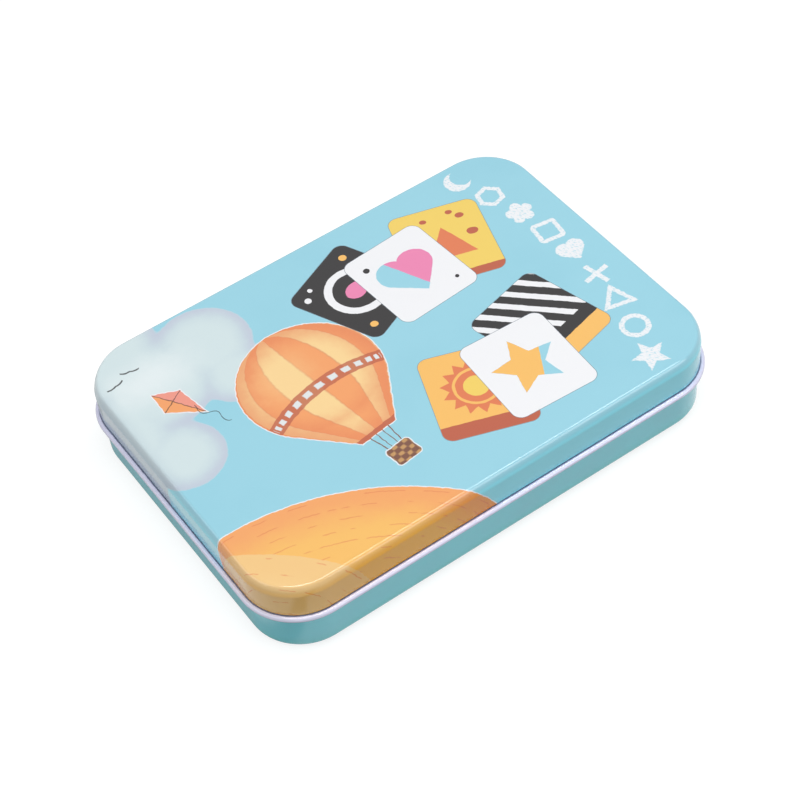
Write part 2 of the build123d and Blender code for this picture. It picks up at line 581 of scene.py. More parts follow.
def unrolled(place: Plane2D) -> Plane2D:
    """Where a point of the lid lay on the flat printed sheet before it was drawn.

    The wall's depth below the top is laid outwards, square to the rim.

    Args:
        place: Object coordinates in mm.

    Returns:
        Flat coordinates of the print.
    """
    straight = (TIN.straight_x, TIN.straight_y, OUT_OF_PLAY)
    past = place.moved("ABSOLUTE").moved("SUBTRACT", straight).moved("MAXIMUM", (0, 0, 0))
    outward = past.moved("NORMALIZE").moved("MULTIPLY", place.moved("SIGN"))
    depth = TIN.top - place.height()
    return place.moved("ADD", outward.moved("SCALE", depth)).flattened()


# ------------------------------------------------------------------ the lid's picture
@dataclass(frozen=True)
class Tone:
    """A soft tone over a figure, strongest at a shape's edge or in its middle.

    Attributes:
        colour: its ink.
        ragged: how far the paper's unevenness moves it.
        inner: distance from the shape's edge where it starts to change, inside.
        outer: distance where it stops changing.
        strength: the ink's share where the tone is full.
        at_edge: whether it is full at the edge, or else in the middle.
    """

    colour: Colour
    ragged: float
    inner: float
    outer: float
    strength: float
    at_edge: bool = True

    def lay(self, layers: Layers, shape: Field, grain: Field, body: Field) -> None:
        """Lays the tone.

        Args:
            layers: the inks so far.
            shape: what the tone follows.
            grain: unevenness of the paper, which moves the tone by up to ragged mm.
            body: where the figure is printed.
        """
        ends = (0.0, 1.0) if self.at_edge else (1.0, 0.0)
        amount = (shape + grain * self.ragged).spread(self.inner, self.outer, *ends)
        layers.paint(self.colour, amount * body, self.strength)


@dataclass
class Printing:
    """The lid's flat sheet while its picture is printed.

    Attributes:
        layers: the inks so far.
        sheet: flat coordinates of the print.
        wall: 1 on the lid's wall, 0 on its top.
        key_width: width of the white line round a figure.
    """

    layers: Layers
    sheet: Plane2D
    wall: Field
    key_width: float = 0.3

    def __post_init__(self) -> None:
        """Takes up the brush, whose edges waver."""
        self.brush = self.sheet.shaken(grain=1.6, reach=0.28)

    def lay(self, colour: Colour, shape: Field, strength: float = 1.0, blur: float = 0.12) -> Field:
        """Prints a shape.

        Args:
            colour: the ink.
            shape: what is printed.
            strength: the ink's share there.
            blur: width of the edge.

        Returns:
            How much ink the shape lays.
        """
        body = shape.cover(blur)
        self.layers.paint(colour, body, strength)
        return body

    def keyline(self, shape: Field) -> None:
        """Thin white line that a printed figure keeps round itself."""
        self.lay(Palette.WHITE, shape - self.key_width, 0.9)


@dataclass(frozen=True)
class CloudBank:
    """Pale cloud over the left end, printed on past the lid's edge.

    Attributes:
        lobes: radius and middle of each round lobe.
        joint: how softly the lobes meet.
        lit: half sizes and middle of the brightest part.
        light: the tone of that part.
        shade: the tone along the cloud's edge.
        under: the lavender tone at the very edge.
        fold_x: how far out the sheet folds down into the end wall; past it the cloud is painted
            darker, as shade on that wall.
    """

    lobes: tuple[tuple[float, float, float], ...] = (
        (16.0, -55.0, 30.0),
        (13.0, -37.5, 34.0),
        (19.0, -76.0, 20.0),
        (21.0, -66.0, 50.0),
        (10.0, -36.0, 20.5),
        (11.0, -61.0, 5.0),
    )
    joint: float = 3.5
    lit: tuple[float, float, float, float] = (19.0, 11.0, -55.0, 32.0)
    light: Tone = Tone(Palette.CLOUD_LIGHT, 5.0, -8.0, 3.0, 0.9, at_edge=False)
    shade: Tone = Tone(Palette.CLOUD_SHADE, 3.0, -5.0, 2.0, 0.6)
    under: Tone = Tone(Palette.LAVENDER, 2.0, -2.5, 1.2, 0.45)
    fold_x: float = 65.0

    def draw(self, printing: Printing) -> None:
        """Prints the cloud.

        Args:
            printing: the sheet.
        """
        bank = printing.brush.disc(*self.lobes[0])
        for lobe in self.lobes[1:]:
            bank = bank.merge(printing.brush.disc(*lobe), self.joint)
        body = printing.lay(Palette.CLOUD, bank, blur=0.5)
        grain = printing.sheet.noise(5.0, detail=4.0, roughness=0.6)
        lit = printing.brush.oval(*self.lit)
        for tone, shape in ((self.light, lit), (self.shade, bank), (self.under, bank)):
            tone.lay(printing.layers, shape, grain, body)
        # Painted shade: the cloud is laid darker where the sheet turns down onto the end wall.
        fold = printing.sheet.beyond(180.0, self.fold_x).spread(-1.0, 8.5)
        printing.layers.paint(Palette.CLOUD_WALL_SHADE, fold * body, 0.85)


@dataclass(frozen=True)
class KiteAndBirds:
    """Small coral kite with a dark tail, and two birds beside it.

    Attributes:
        kite: the kite's middle and turn.
        birds: each bird's middle and turn.
        half: the sail's half width, measured square to its edges.
        steep: how steep the sail's edges are.
        droop: how fast the sail narrows below its middle; above it, that is 1.
        square: what turns the upper and the lower half into distances.
        pen: width of the spars' and the tail's lines.
        tail: where the tail starts and ends, below the middle.
        sway: how fast and how far the tail sways.
        wing: how far a bird's wings reach to each side.
        wing_fall: how fast a wing falls outwards at first.
        wing_lift: how fast its tip turns up again.
        wing_pen: width of a wing's line.
    """

    kite: tuple[float, float, float] = (-54.0, 22.0, 32.0)
    birds: tuple[tuple[float, float, float], ...] = ((-63.0, 35.8, 12.0), (-57.5, 38.0, -14.0))
    half: float = 3.4
    steep: float = 1.5
    droop: float = 0.62
    square: tuple[float, float] = (0.555, 0.57)
    pen: tuple[float, float] = (0.25, 0.26)
    tail: tuple[float, float] = (5.8, 17.0)
    sway: tuple[float, float] = (0.9, 0.9)
    wing: float = 2.6
    wing_fall: float = 0.35
    wing_lift: float = 0.16
    wing_pen: float = 0.5

    def draw(self, printing: Printing) -> None:
        """Prints the kite, then the birds.

        Args:
            printing: the sheet.
        """
        x, y = printing.brush.placed(*self.kite).axes()
        out = x.size() * self.steep
        above = (out + y.size()) * self.square[0] - self.half
        below = ((out - y * self.droop) * self.square[1] - self.half) & y
        sail = above | below
        printing.keyline(sail)
        printing.lay(Palette.CORAL, sail)
        printing.lay(Palette.ORANGE, sail & x)
        spar_pen, tail_pen = self.pen
        spars = x.line(spar_pen) | y.line(spar_pen)
        printing.lay(Palette.BLACK, spars & sail, 0.8)
        start, end = self.tail
        rate, reach = self.sway
        wave = (x - (y * rate).apply("SINE") * reach).line(tail_pen)
        printing.lay(Palette.BLACK, wave & (y + start) & (-end - y), 0.85)
        for bird in self.birds:
            side, rise = printing.brush.placed(*bird).axes()
            curve = rise + side.size() * self.wing_fall - side * side * self.wing_lift
            wings = curve.line(self.wing_pen) & (side.size() - self.wing)
            printing.lay(Palette.BLACK, wings, 0.9, blur=0.15)


@dataclass(frozen=True)
class Dune:
    """One round dune.

    Attributes:
        circle: its radius and middle.
        colour: its ink.
        tone: the tone towards its crest.
        pitch: spacing of its ripples.
        first: how far inside the edge the first ripple runs.
        stroke: half a ripple's width.
    """

    circle: tuple[float, float, float]
    colour: Colour
    tone: Tone
    pitch: float
    first: float = 1.2
    stroke: float = 0.13

    def draw(self, printing: Printing, grain: Field) -> Field:
        """Prints the dune with broken brush strokes along its crest.

        Args:
            printing: the sheet.
            grain: unevenness of the paper.

        Returns:
            Where the dune is printed.
        """
        shape = printing.brush.disc(*self.circle)
        body = printing.lay(self.colour, shape)
        self.tone.lay(printing.layers, shape, grain, body)
        stroke = (shape + self.first).fold(self.pitch / 2) - self.stroke
        broken = printing.sheet.noise(5.5, detail=1.0).spread(0.5, 0.56)
        printing.layers.paint(Palette.ORANGE_DEEP, stroke.cover(0.2) * broken * body, 0.6)
        return body


@dataclass(frozen=True)
class Dunes:
    """Golden dunes in the near corner, running over the crease and down the wall.

    Attributes:
        far: the dune behind.
        near: the dune in front of it.
        wall_shade: share of rust-coloured ink laid over both on the wall, as painted shade.
    """

    far: Dune = Dune(
        (70.0, -66.0, -93.0), Palette.AMBER, Tone(Palette.ORANGE, 5.0, -11.0, 1.5, 0.85), 3.4
    )
    near: Dune = Dune(
        (62.0, -100.0, -82.0), Palette.GOLD, Tone(Palette.GOLD_DEEP, 7.0, -17.0, 1.0, 0.5), 4.6
    )
    wall_shade: float = 0.09

    def draw(self, printing: Printing) -> None:
        """Prints the far dune, the near one before it, and painted shade on the wall.

        Args:
            printing: the sheet.
        """
        printing.keyline(printing.brush.disc(*self.far.circle))
        grain = printing.sheet.noise(6.0, detail=4.0, roughness=0.6)
        far, near = (dune.draw(printing, grain) for dune in (self.far, self.near))
        both = far.apply("MAXIMUM", near)
        # Painted shade: rust-coloured ink darkens the dunes where they run down the wall.
        printing.layers.paint(Palette.RUST, printing.wall * both, self.wall_shade)


@dataclass(frozen=True)
class Balloon:
    """Striped hot-air balloon with a checked band, ropes and a basket.

    Attributes:
        place: its middle and turn.
        radius: the round part's radius.
        apex: how far below the middle the two straight sides would meet.
        mouth_y: the mouth's height.
        gores: the number of stripes, light and dark, that are seen across it.
        rope_ends: heights between which the ropes are seen.
        rope_x: how far out the outer and the inner ropes are at rope_y.
        rope_y: that height.
        rope_lean: how much the outer ropes spread, upwards.
        rope_pen: width of the outer and the inner ropes.
        collar_y: the rust collar lies below this height.
        rim: the darker tone along the envelope's edge.
        glow: the lighter tone in its middle.
        glow_disc: radius and middle of that tone.
        basket_y: the basket's middle.
        basket: the basket's half sizes and the radius of its corners.
        weave: how fast the wicker changes along and across.
        band_y: height of the checked band in its middle.
        band_bow: how fast the band falls to its ends.
        band_half: half the band's width.
        dash: share of a check that is pale.
        dash_inset: how far inside the band's edge the checks end.
        dash_gores: how many gores out from the middle the checks go.
        spare: keeps the envelope's measured width above zero at its top.
    """

    place: tuple[float, float, float] = (-22.0, 6.0, 8.0)
    radius: float = 19.5
    apex: float = 33.0
    mouth_y: float = -25.5
    gores: int = 7
    rope_ends: tuple[float, float] = (-25.0, -32.0)
    rope_x: tuple[float, float] = (2.9, 1.0)
    rope_y: float = -26.0
    rope_lean: float = 0.12
    rope_pen: tuple[float, float] = (0.3, 0.24)
    collar_y: float = -24.0
    rim: Tone = Tone(Palette.ORANGE_DEEP, 4.0, -7.0, 2.0, 0.6)
    glow: Tone = Tone(Palette.GOLD, 6.0, -8.0, 7.0, 0.45, at_edge=False)
    glow_disc: tuple[float, float, float] = (9.0, -5.0, 6.0)
    basket_y: float = -34.5
    basket: tuple[float, float, float] = (3.6, 3.0, 0.9)
    weave: tuple[float, float] = (1.9, 2.4)
    band_y: float = -3.0
    band_bow: float = 0.012
    band_half: float = 2.1
    dash: float = 0.28
    dash_inset: float = 1.2
    dash_gores: float = 2.9
    spare: float = 2.0

    def draw(self, printing: Printing) -> None:
        """Prints the envelope over its ropes, then the basket.

        Args:
            printing: the sheet.
        """
        local = printing.brush.placed(*self.place)
        x, y = local.axes()
        taper = math.asin(self.radius / self.apex)
        joint = self.radius * math.sin(taper)
        lean = math.degrees(taper)
        sides = local.beyond(-lean, self.radius) & local.beyond(180 + lean, self.radius)
        envelope = local.disc(self.radius) | (sides & (self.mouth_y - y) & (y + joint))
        printing.keyline(envelope)
        printing.lay(Palette.BROWN, self.ropes(x, y))
        body = printing.lay(Palette.GOLD, envelope)
        round_half = (self.radius**2 + self.spare - y * y).apply("MAXIMUM", 1.0).apply("SQRT")
        straight_half = (y + self.apex) * math.tan(taper)
        half = round_half + (straight_half - round_half) * y.apply("LESS_THAN", -joint)
        gore = (x / half).apply("ARCSINE") * (self.gores / math.pi)
        self.stripes(printing, gore, body)
        grain = printing.sheet.noise(4.0, detail=4.0, roughness=0.65)
        self.rim.lay(printing.layers, envelope, grain, body)
        self.glow.lay(printing.layers, local.disc(*self.glow_disc), grain, body)
        band = (y - self.band_y + x * x * self.band_bow).size() - self.band_half
        printing.layers.paint(Palette.RUST, band.cover(0.15) * body, 0.85)
        checks = ((gore * 2.0).fold(0.5) - self.dash) * 4.0
        pale = checks & (band + self.dash_inset) & (gore.size() - self.dash_gores)
        printing.layers.paint(Palette.CLOUD_LIGHT, pale.cover(0.25) * body, 0.9)
        printing.layers.paint(Palette.RUST, (y - self.collar_y).cover(0.12) * body, 0.9)
        basket = local.placed(0, self.basket_y).block(*self.basket)
        printing.keyline(basket)
        along, across = self.weave
        woven = (x * along).apply("SINE") * (y * across).apply("SINE")
        wicker = printing.lay(Palette.BROWN, basket)
        printing.layers.paint(Palette.GOLD_DEEP, woven.spread(-0.2, 0.6) * wicker, 0.55)

    def ropes(self, x: Field, y: Field) -> Field:
        """Two ropes to each side, between the mouth and the basket.

        Args:
            x: the balloon's own coordinate, across.
            y: the same, upwards.

        Returns:
            The shape.
        """
        outer_x, inner_x = self.rope_x
        outer_pen, inner_pen = self.rope_pen
        upper, lower = self.rope_ends
        outer = (x.size() - outer_x - (y - self.rope_y) * self.rope_lean).line(outer_pen)
        inner = (x.size() - inner_x).line(inner_pen)
        return (outer | inner) & (y - upper) & (lower - y)

    def stripes(self, printing: Printing, gore: Field, body: Field) -> None:
        """Prints every other gore orange, with a thin seam along each edge.

        Args:
            printing: the sheet.
            gore: how many gores out from the middle seam.
            body: where the envelope is printed.
        """
        edge = ((gore + 0.5).fold(1.0) - 0.5) * 5.0
        printing.layers.paint(Palette.ORANGE, (-edge).cover(0.25) * body)
        printing.layers.paint(Palette.RUST, (edge.size() - 0.12).cover(0.3) * body, 0.35)


class Motif(Enum):
    """What a card in the lid's picture shows."""

    SUN = "sun"
    STAR = "star"
    HEART = "heart"
    STRIPES = "stripes"
    TRIANGLE = "triangle"
    RINGS = "rings"


@dataclass(frozen=True)
class PaintedCard:
    """One card in the lid's picture.

    Attributes:
        x: its middle along the sheet.
        y: its middle across the sheet.
        degrees: its turn.
        motif: what it shows.
        face: its ground.
        half_x: half its width.
        half_y: half its height.
        corner: radius of its corners.
        rim: width of the dark line round it.
    """

    x: float
    y: float
    degrees: float
    motif: Motif
    face: Colour
    half_x: float = 12.6
    half_y: float = 14.2
    corner: float = 2.8
    rim: float = 0.14

    def draw(self, printing: Printing) -> None:
        """Prints the card and its motif.

        Args:
            printing: the sheet.
        """
        local = printing.sheet.placed(self.x, self.y, self.degrees)
        outline = local.block(self.half_x, self.half_y, self.corner)
        printing.lay(Palette.OUTLINE, outline - self.rim, 0.85, blur=0.16)
        inside = printing.lay(self.face, outline, blur=0.08)
        motifs = {
            Motif.SUN: self.sun,
            Motif.STAR: self.star,
            Motif.HEART: self.heart,
            Motif.STRIPES: self.stripes,
            Motif.TRIANGLE: self.triangle,
            Motif.RINGS: self.rings,
        }
        for colour, shape in motifs[self.motif](local.shaken(grain=2.0, reach=0.18)):
            printing.layers.paint(colour, shape.cover() * inside)

    def sun(self, local: Plane2D) -> Iterable[tuple[Colour, Field]]:
        """Sun with rays over a rust foot.

        Args:
            local: the card's own coordinates.

        Returns:
            Each ink with its shape, from the lowest up.
        """
        disc = local.placed(0, 1.5)
        yield Palette.RUST, local.axes()[1] + 9.5
        yield Palette.ORANGE_DEEP, disc.star(14, 9.4, 7.0)
        yield Palette.AMBER, disc.disc(6.2)
        yield Palette.ORANGE_DEEP, disc.disc(5.4)
        yield Palette.YELLOW, disc.disc(3.4)

    def star(self, local: Plane2D) -> Iterable[tuple[Colour, Field]]:
        """Star split into a teal part and an amber one with a thin dark edge.

        Args:
            local: the card's own coordinates.

        Returns:
            Each ink with its shape, from the lowest up.
        """
        star = local.star(5, 9.6, 4.6)
        yield Palette.TEAL, star
        yield Palette.BLACK, star & local.beyond(-25.0, -1.0)
        yield Palette.AMBER, star & local.beyond(-25.0, 3.6)

    def heart(self, local: Plane2D) -> Iterable[tuple[Colour, Field]]:
        """Heart split into a teal and a pink half, with dots beside it.

        Args:
            local: the card's own coordinates.

        Returns:
            Each ink with its shape, from the lowest up.
        """
        heart = local.placed(0, -1.0).heart(4.9)
        yield Palette.TEAL, heart
        yield Palette.PINK, heart & local.beyond(200.0, 0.6)
        yield Palette.BLACK, local.disc(0.9, -8.2, 8.6) | local.disc(0.6, 8.4, -9.4)

    def stripes(self, local: Plane2D) -> Iterable[tuple[Colour, Field]]:
        """White slanting stripes over an amber foot.

        Args:
            local: the card's own coordinates.

        Returns:
            Each ink with its shape, from the lowest up.
        """
        x, y = local.axes()
        yield Palette.WHITE, ((x + y * 0.6).fold(2.6) - 1.1) & (-y - 5.0)
        yield Palette.AMBER, y + 8.6

    def triangle(self, local: Plane2D) -> Iterable[tuple[Colour, Field]]:
        """Orange triangle over a rust foot, with round spots.

        Args:
            local: the card's own coordinates.

        Returns:
            Each ink with its shape, from the lowest up.
        """
        yield Palette.RUST, local.axes()[1] + 11.4
        yield Palette.ORANGE_DEEP, local.placed(0.5, -1.5).polygon(3, 3.9, -90.0)
        spots = (
            (1.2, -7.0, 8.5),
            (0.8, -3.4, 10.0),
            (1.0, 6.8, 9.0),
            (1.3, 8.2, 2.0),
            (0.8, 4.4, 11.2),
        )
        for radius, x, y in spots:
            yield Palette.RUST, local.oval(radius * 1.25, radius, x, y)

    def rings(self, local: Plane2D) -> Iterable[tuple[Colour, Field]]:
        """White ring about a pink spot, with small dots in the corners.

        Args:
            local: the card's own coordinates.

        Returns:
            Each ink with its shape, from the lowest up.
        """
        yield Palette.WHITE, local.disc(7.6, 0, 0.5).line(2.2)
        dots = ((1.0, -9.4, 9.8), (0.7, -6.0, 11.4), (0.9, 9.0, -9.6))
        for dot in dots:
            yield Palette.WHITE, local.disc(*dot)
        yield Palette.PINK, local.oval(3.4, 2.7, 0, 0.5)
        yield Palette.AMBER, local.disc(1.1, 8.4, 10.2) | local.disc(1.1, -8.4, -10.2)


@dataclass(frozen=True)
class ChalkRow:
    """Row of small white shapes along the right end, rubbed as chalk is.

    Attributes:
        x: how far out the row's middle stands.
        spacing: distance from shape to shape.
        bow: how much the row bends back towards its ends.
        tilt: how far the shapes lean to and fro, in degrees.
        sway: how fast the lean changes from shape to shape.
        scale: the shapes' size.
        shapes: the shapes, from the front of the lid to the back.
    """

    x: float = 58.0
    spacing: float = 10.4
    bow: float = 0.0046
    tilt: float = 14.0
    sway: float = 2.4
    scale: float = 1.28
    shapes: tuple[Shape, ...] = (
        lambda at: at.star(5, 4.1, 1.9),
        lambda at: at.disc(2.7).line(1.1),
        lambda at: at.polygon(3, 1.7, -90.0).line(1.0),
        lambda at: at.block(0.55, 3.2) | at.block(3.2, 0.55),
        lambda at: at.heart(1.9),
        lambda at: at.block(2.5, 2.5, 0.5).line(1.0),
        lambda at: at.flower(5, 1.9, 1.25),
        lambda at: at.polygon(6, 2.4, 0.0).line(1.0),
        lambda at: at.disc(3.0) & -at.disc(2.5, 1.5, 0.6),
    )

    def draw(self, printing: Printing) -> None:
        """Prints the row.

        Args:
            printing: the sheet.
        """
        rough = printing.sheet.shaken(grain=0.9, reach=0.32)
        row: Field | None = None
        for i, shape in enumerate(self.shapes):
            y = self.spacing * (i - (len(self.shapes) - 1) / 2)
            lean = self.tilt * math.sin(self.sway * i)
            drawn = shape(rough.placed(self.x - self.bow * y * y, y, lean, self.scale))
            row = drawn if row is None else row | drawn
        streaks = printing.sheet.placed(0, 0, 35.0).moved("MULTIPLY", (3.0, 0.8, 1.0))
        rubbed = streaks.noise(0.8).spread(0.34, 0.48, 0.35, 1.0)
        printing.layers.paint(Palette.WHITE, row.cover(0.18) * rubbed, 0.97)


PICTURE = (
    CloudBank(),
    KiteAndBirds(),
    Dunes(),
    Balloon(),
    PaintedCard(5.0, 24.5, 24.0, Motif.RINGS, Palette.BLACK),
    PaintedCard(33.5, 24.0, -17.0, Motif.TRIANGLE, Palette.YELLOW),
    PaintedCard(19.5, 21.0, 4.0, Motif.HEART, Palette.WHITE),
    PaintedCard(35.5, -15.0, 14.0, Motif.STRIPES, Palette.BLACK),
    PaintedCard(9.0, -23.5, -20.0, Motif.SUN, Palette.AMBER),
    PaintedCard(24.0, -24.5, -3.0, Motif.STAR, Palette.WHITE),
    ChalkRow(),
)


# ------------------------------------------------------------------ finishes
def lacquered(surface: Surface, depth: float = 0.16) -> bpy.types.Material:
    """Finishes a lacquered sheet.

    Args:
        surface: the material, its inks laid.
        depth: depth of the orange peel and the sheet's slow unevenness.

    Returns:
        The material, its gloss varying a little as handling leaves it.
    """
    relief = surface.place.noise(34.0, detail=1.0) * 0.93 + surface.place.noise(0.9) * 0.07
    rough = surface.place.noise(11.0, detail=4.0, roughness=0.65).spread(0.3, 0.8, 0.29, 0.4)
    return surface.finish(relief, depth, rough)


@dataclass(frozen=True)
class LidPrint:
    """The lid's outside: its picture, painted light on the wall, and a dark hem line, part print,
    part painted shade.

    Attributes:
        shoulder: how far below the top the wall's painted light, a brighter and richer teal than
            the top's, is full.
        crease: how far below the top it starts.
        hem_line: height of the dark line along the hem, partly the hem's print and partly painted
            shade of the gap below it.
        flecked_x: the end wall whose hem shows black flecks lies beyond this x, to the left.
        flecked_y: half the length over which its hem is flecked.
        fleck_level: level that the noise has to pass at the dark line to make a fleck, a ragged
            print edge with painted shade of the gap showing.
    """

    shoulder: float = 2.5
    crease: float = 0.5
    hem_line: float = 0.12
    flecked_x: float = -50.0
    flecked_y: float = 31.0
    fleck_level: float = 0.42

    def material(self) -> bpy.types.Material:
        """Prints and lacquers the sheet.

        Returns:
            The material.
        """
        surface = Surface("lid_print", LACQUER, Palette.TEAL)
        layers, height = surface.layers, surface.height
        sheet = unrolled(surface.place)
        wall = height.spread(TIN.top - self.shoulder, TIN.top - self.crease, 1.0, 0.0)
        layers.paint(Palette.TEAL_DEEP, sheet.noise(28.0, detail=3.0).spread(0.4, 0.75, 0.0, 0.55))
        # Painted light: the wall is laid a brighter, richer teal than the top, for how light falls
        # on it.
        layers.paint(Palette.TEAL_SIDE, wall)
        printing = Printing(layers, sheet, wall)
        for figure in PICTURE:
            figure.draw(printing)
        # Painted light: the inks on the wall are made richer and brighter still.
        layers.deepen(wall, saturation=1.2, value=1.06)
        # Painted shade: the navy line along the hem is partly the hem's print and partly the shade
        # of the gap under the lid. At the left end it breaks into black flecks, a ragged print edge
        # with that shade showing through.
        hem = height - (TIN.skirt_bottom + self.hem_line)
        layers.paint(Palette.NAVY, hem.cover(0.12), 0.5)
        ragged = surface.place.noise(1.0, detail=3.0, roughness=0.7).spread(0.42, 0.64)
        x, y = surface.place.axes()
        end_wall = (x - self.flecked_x) & (y.size() - self.flecked_y)
        flecks_and_gap_shade = (hem - ragged + self.fleck_level) & end_wall
        layers.paint(Palette.BLACK, flecks_and_gap_shade.cover(), 0.75)
        return lacquered(surface)


@dataclass(frozen=True)
class BasePrint:
    """The base pan's outside: teal wall and floor, pale rim above, painted shade under the bead and
    by the lid's hem.

    Attributes:
        rim_drop: how far below the bead's middle the print ends, in bead radii.
        rim_wander: how far that edge wavers.
        gap_shade_reach: how far outside the lid's wall the painted shade of the gap under the lid
            goes.
        gap_shade_wander: how far noise pulls that shade's edge in, at most.
        gap_shade_low: how far above the bead's middle the shade starts.
        gap_shade_high: how far above the lid's hem it ends.
        scuffed: height up to which the floor's edge is scuffed.
    """

    rim_drop: float = 0.15
    rim_wander: float = 0.16
    gap_shade_reach: float = 0.42
    gap_shade_wander: float = 0.34
    gap_shade_low: float = 0.3
    gap_shade_high: float = 0.1
    scuffed: float = 0.06

    def material(self) -> bpy.types.Material:
        """Prints and lacquers the sheet.

        Returns:
            The material.
        """
        surface = Surface("base_print", LACQUER, Palette.TEAL_WALL)
        layers, place, height = surface.layers, surface.place, surface.height
        layers.paint(Palette.TEAL_DEEP, place.noise(22.0, detail=3.0).spread(0.35, 0.8, 0.0, 0.4))
        layers.paint(Palette.TEAL_FOOT, height.spread(1.0, 5.0, 0.8, 0.0))
        print_edge = TIN.bead_z - TIN.bead_mid_r * self.rim_drop
        rim = (print_edge - (height + place.noise(9.0) * self.rim_wander)).cover()
        layers.paint(Palette.RIM_WHITE, rim)
        # Painted shade: the bead's underside is laid a darker lilac than its white top.
        underside = (height - TIN.bead_z).spread(-0.9, 0.35, 1.0, 0.0)
        layers.paint(Palette.RIM_LILAC, underside * rim, 0.55)
        # Painted shade: a navy band on the bead's top next to the lid's wall, standing in for the
        # shade in the gap under the lid's hem.
        shade_wander = place.noise(1.3, detail=3.0, roughness=0.7) * self.gap_shade_wander
        reach = surface.flat.block(TIN.length / 2, TIN.width / 2, TIN.corner_r) + shade_wander
        above = TIN.bead_z + self.gap_shade_low - height
        gap_shade = (reach - self.gap_shade_reach) & above & (height - TIN.skirt_bottom - self.gap_shade_high)
        layers.paint(Palette.NAVY, gap_shade.cover(0.14), 0.8)
        foot = (self.scuffed - height).spread(-0.05, 0.05)
        scuffs = place.noise(1.4, detail=5.0, roughness=0.7).spread(0.55, 0.72)
        layers.paint(Palette.STEEL, scuffs * foot, 0.35)
        return lacquered(surface)


@dataclass(frozen=True)
class InsideLacquer:
    """Pale lacquer on the side of a sheet that has no print.

    Attributes:
        depth: depth of its orange peel.
    """

    depth: float = 0.12

    def material(self) -> bpy.types.Material:
        """Lacquers the sheet.

        Returns:
            The material.
        """
        surface = Surface("inside_lacquer", INSIDE_LACQUER, Palette.RIM_WHITE)
        patchy = surface.place.noise(30.0, detail=4.0).spread(0.4, 0.8, 0.0, 0.25)
        surface.layers.paint(Palette.RIM_LILAC, patchy)
        surface.layers.paint(Palette.STEEL, surface.place.noise(0.7).spread(0.68, 0.74), 0.35)
        return lacquered(surface, self.depth)


@dataclass(frozen=True)
class ShearedEdge:
    """Bare tinplate where the sheet was sheared.

    Attributes:
        burr: depth of the shear's streaks.
    """

    burr: float = 0.01

    def material(self) -> bpy.types.Material:
        """Shears the edge.

        Returns:
            The material.
        """
        surface = Surface("sheared_edge", BARE_EDGE, Palette.STEEL)
        streak = surface.place.noise(0.5, detail=3.0).spread(0.4, 0.7)
        surface.layers.paint(Palette.CARD_EDGE, streak, 0.6)
        return surface.finish(streak, self.burr)


@dataclass(frozen=True)
class CardBoard:
    """A card's board: printed face, teal back, pressed grey edge.

    Attributes:
        name: the material's name.
        low: height of the card's underside.
        face_print: what the face shows.
        skin: how deep the face and the back go.
        linen: depth of the face's fine grain.
    """

    name: str
    low: float
    face_print: "CardPrint | WindowPrint"
    skin: float = 0.06
    linen: float = 0.012

    def material(self) -> bpy.types.Material:
        """Presses and prints the board.

        Returns:
            The material.
        """
        surface = Surface(self.name, CARD_SATIN, Palette.CARD_EDGE)
        layers, place, height = surface.layers, surface.place, surface.height
        plies = place.moved("MULTIPLY", (1.2, 1.2, 9.0)).noise(1.0, detail=3.0)
        layers.paint(Palette.STEEL, plies.spread(0.4, 0.7), 0.5)
        face = (self.low + CardStacks.thickness - self.skin - height).cover(0.04)
        layers.paint(Palette.WHITE, face)
        self.face_print.draw(layers, surface.flat, face)
        layers.paint(Palette.TEAL, (height - self.low - self.skin).cover(0.04))
        rough = place.noise(7.0, detail=3.0).spread(0.3, 0.8, 0.36, 0.5)
        return surface.finish(place.noise(0.35, detail=1.0), self.linen, rough)


@dataclass(frozen=True)
class LeafletPaper:
    """Matt paper with a teal band and six small printed frames.

    Attributes:
        fibre: depth of the paper's fibres.
        band_y: the band's middle.
        band: its half sizes and the radius of its corners.
        box: the same of a frame.
        line: a frame's width.
        column: distance from frame to frame along the sheet.
        row: distance between the two rows of frames.
        first_y: the upper row's middle.
        apart: how far a frame's two figures stand from its middle.
        partner_scale: the second figure's size.
        figures: the figures, each frame showing one and its partner two frames on.
    """

    fibre: float = 0.02
    band_y: float = 27.0
    band: tuple[float, float, float] = (52.0, 6.0, 2.0)
    box: tuple[float, float, float] = (14.0, 10.5, 2.0)
    line: float = 0.35
    column: float = 36.0
    row: float = 27.0
    first_y: float = 6.0
    apart: float = 6.2
    partner_scale: float = 0.86
    figures: tuple[Shape, ...] = (
        lambda at: at.disc(4.4),
        lambda at: at.star(5, 5.2, 2.5),
        lambda at: at.heart(2.5),
        lambda at: at.polygon(6, 4.2, 0.0),
        lambda at: at.polygon(3, 2.8),
        lambda at: at.flower(5, 2.9, 2.1),
    )

    def material(self) -> bpy.types.Material:
        """Prints the paper.

        Returns:
            The material.
        """
        surface = Surface("leaflet_paper", PAPER_MATT, Palette.PAPER)
        layers, flat = surface.layers, surface.flat
        layers.paint(Palette.TEAL, flat.placed(0, self.band_y).block(*self.band).cover())
        for i, figure in enumerate(self.figures):
            spot = flat.placed(self.column * (i % 3 - 1), self.first_y - self.row * (i // 3))
            partner = self.figures[(i + 2) % len(self.figures)]
            layers.paint(Palette.STEEL, spot.block(*self.box).line(self.line).cover())
            layers.paint(Palette.AMBER, figure(spot.placed(-self.apart, 0)).cover())
            beside = spot.placed(self.apart, 0, 0, self.partner_scale)
            layers.paint(Palette.TEAL, partner(beside).cover())
        fibres = surface.place.noise(0.6, detail=4.0, roughness=0.7)
        layers.paint(Palette.CARD_EDGE, fibres.spread(0.5, 0.8), 0.4)
        return surface.finish(fibres, self.fibre)


class Pattern(Enum):
    """Print on a picture card."""

    STRIPES = "stripes"
    DOTS = "dots"
    CHECKS = "checks"
    WAVES = "waves"
    RINGS = "rings"


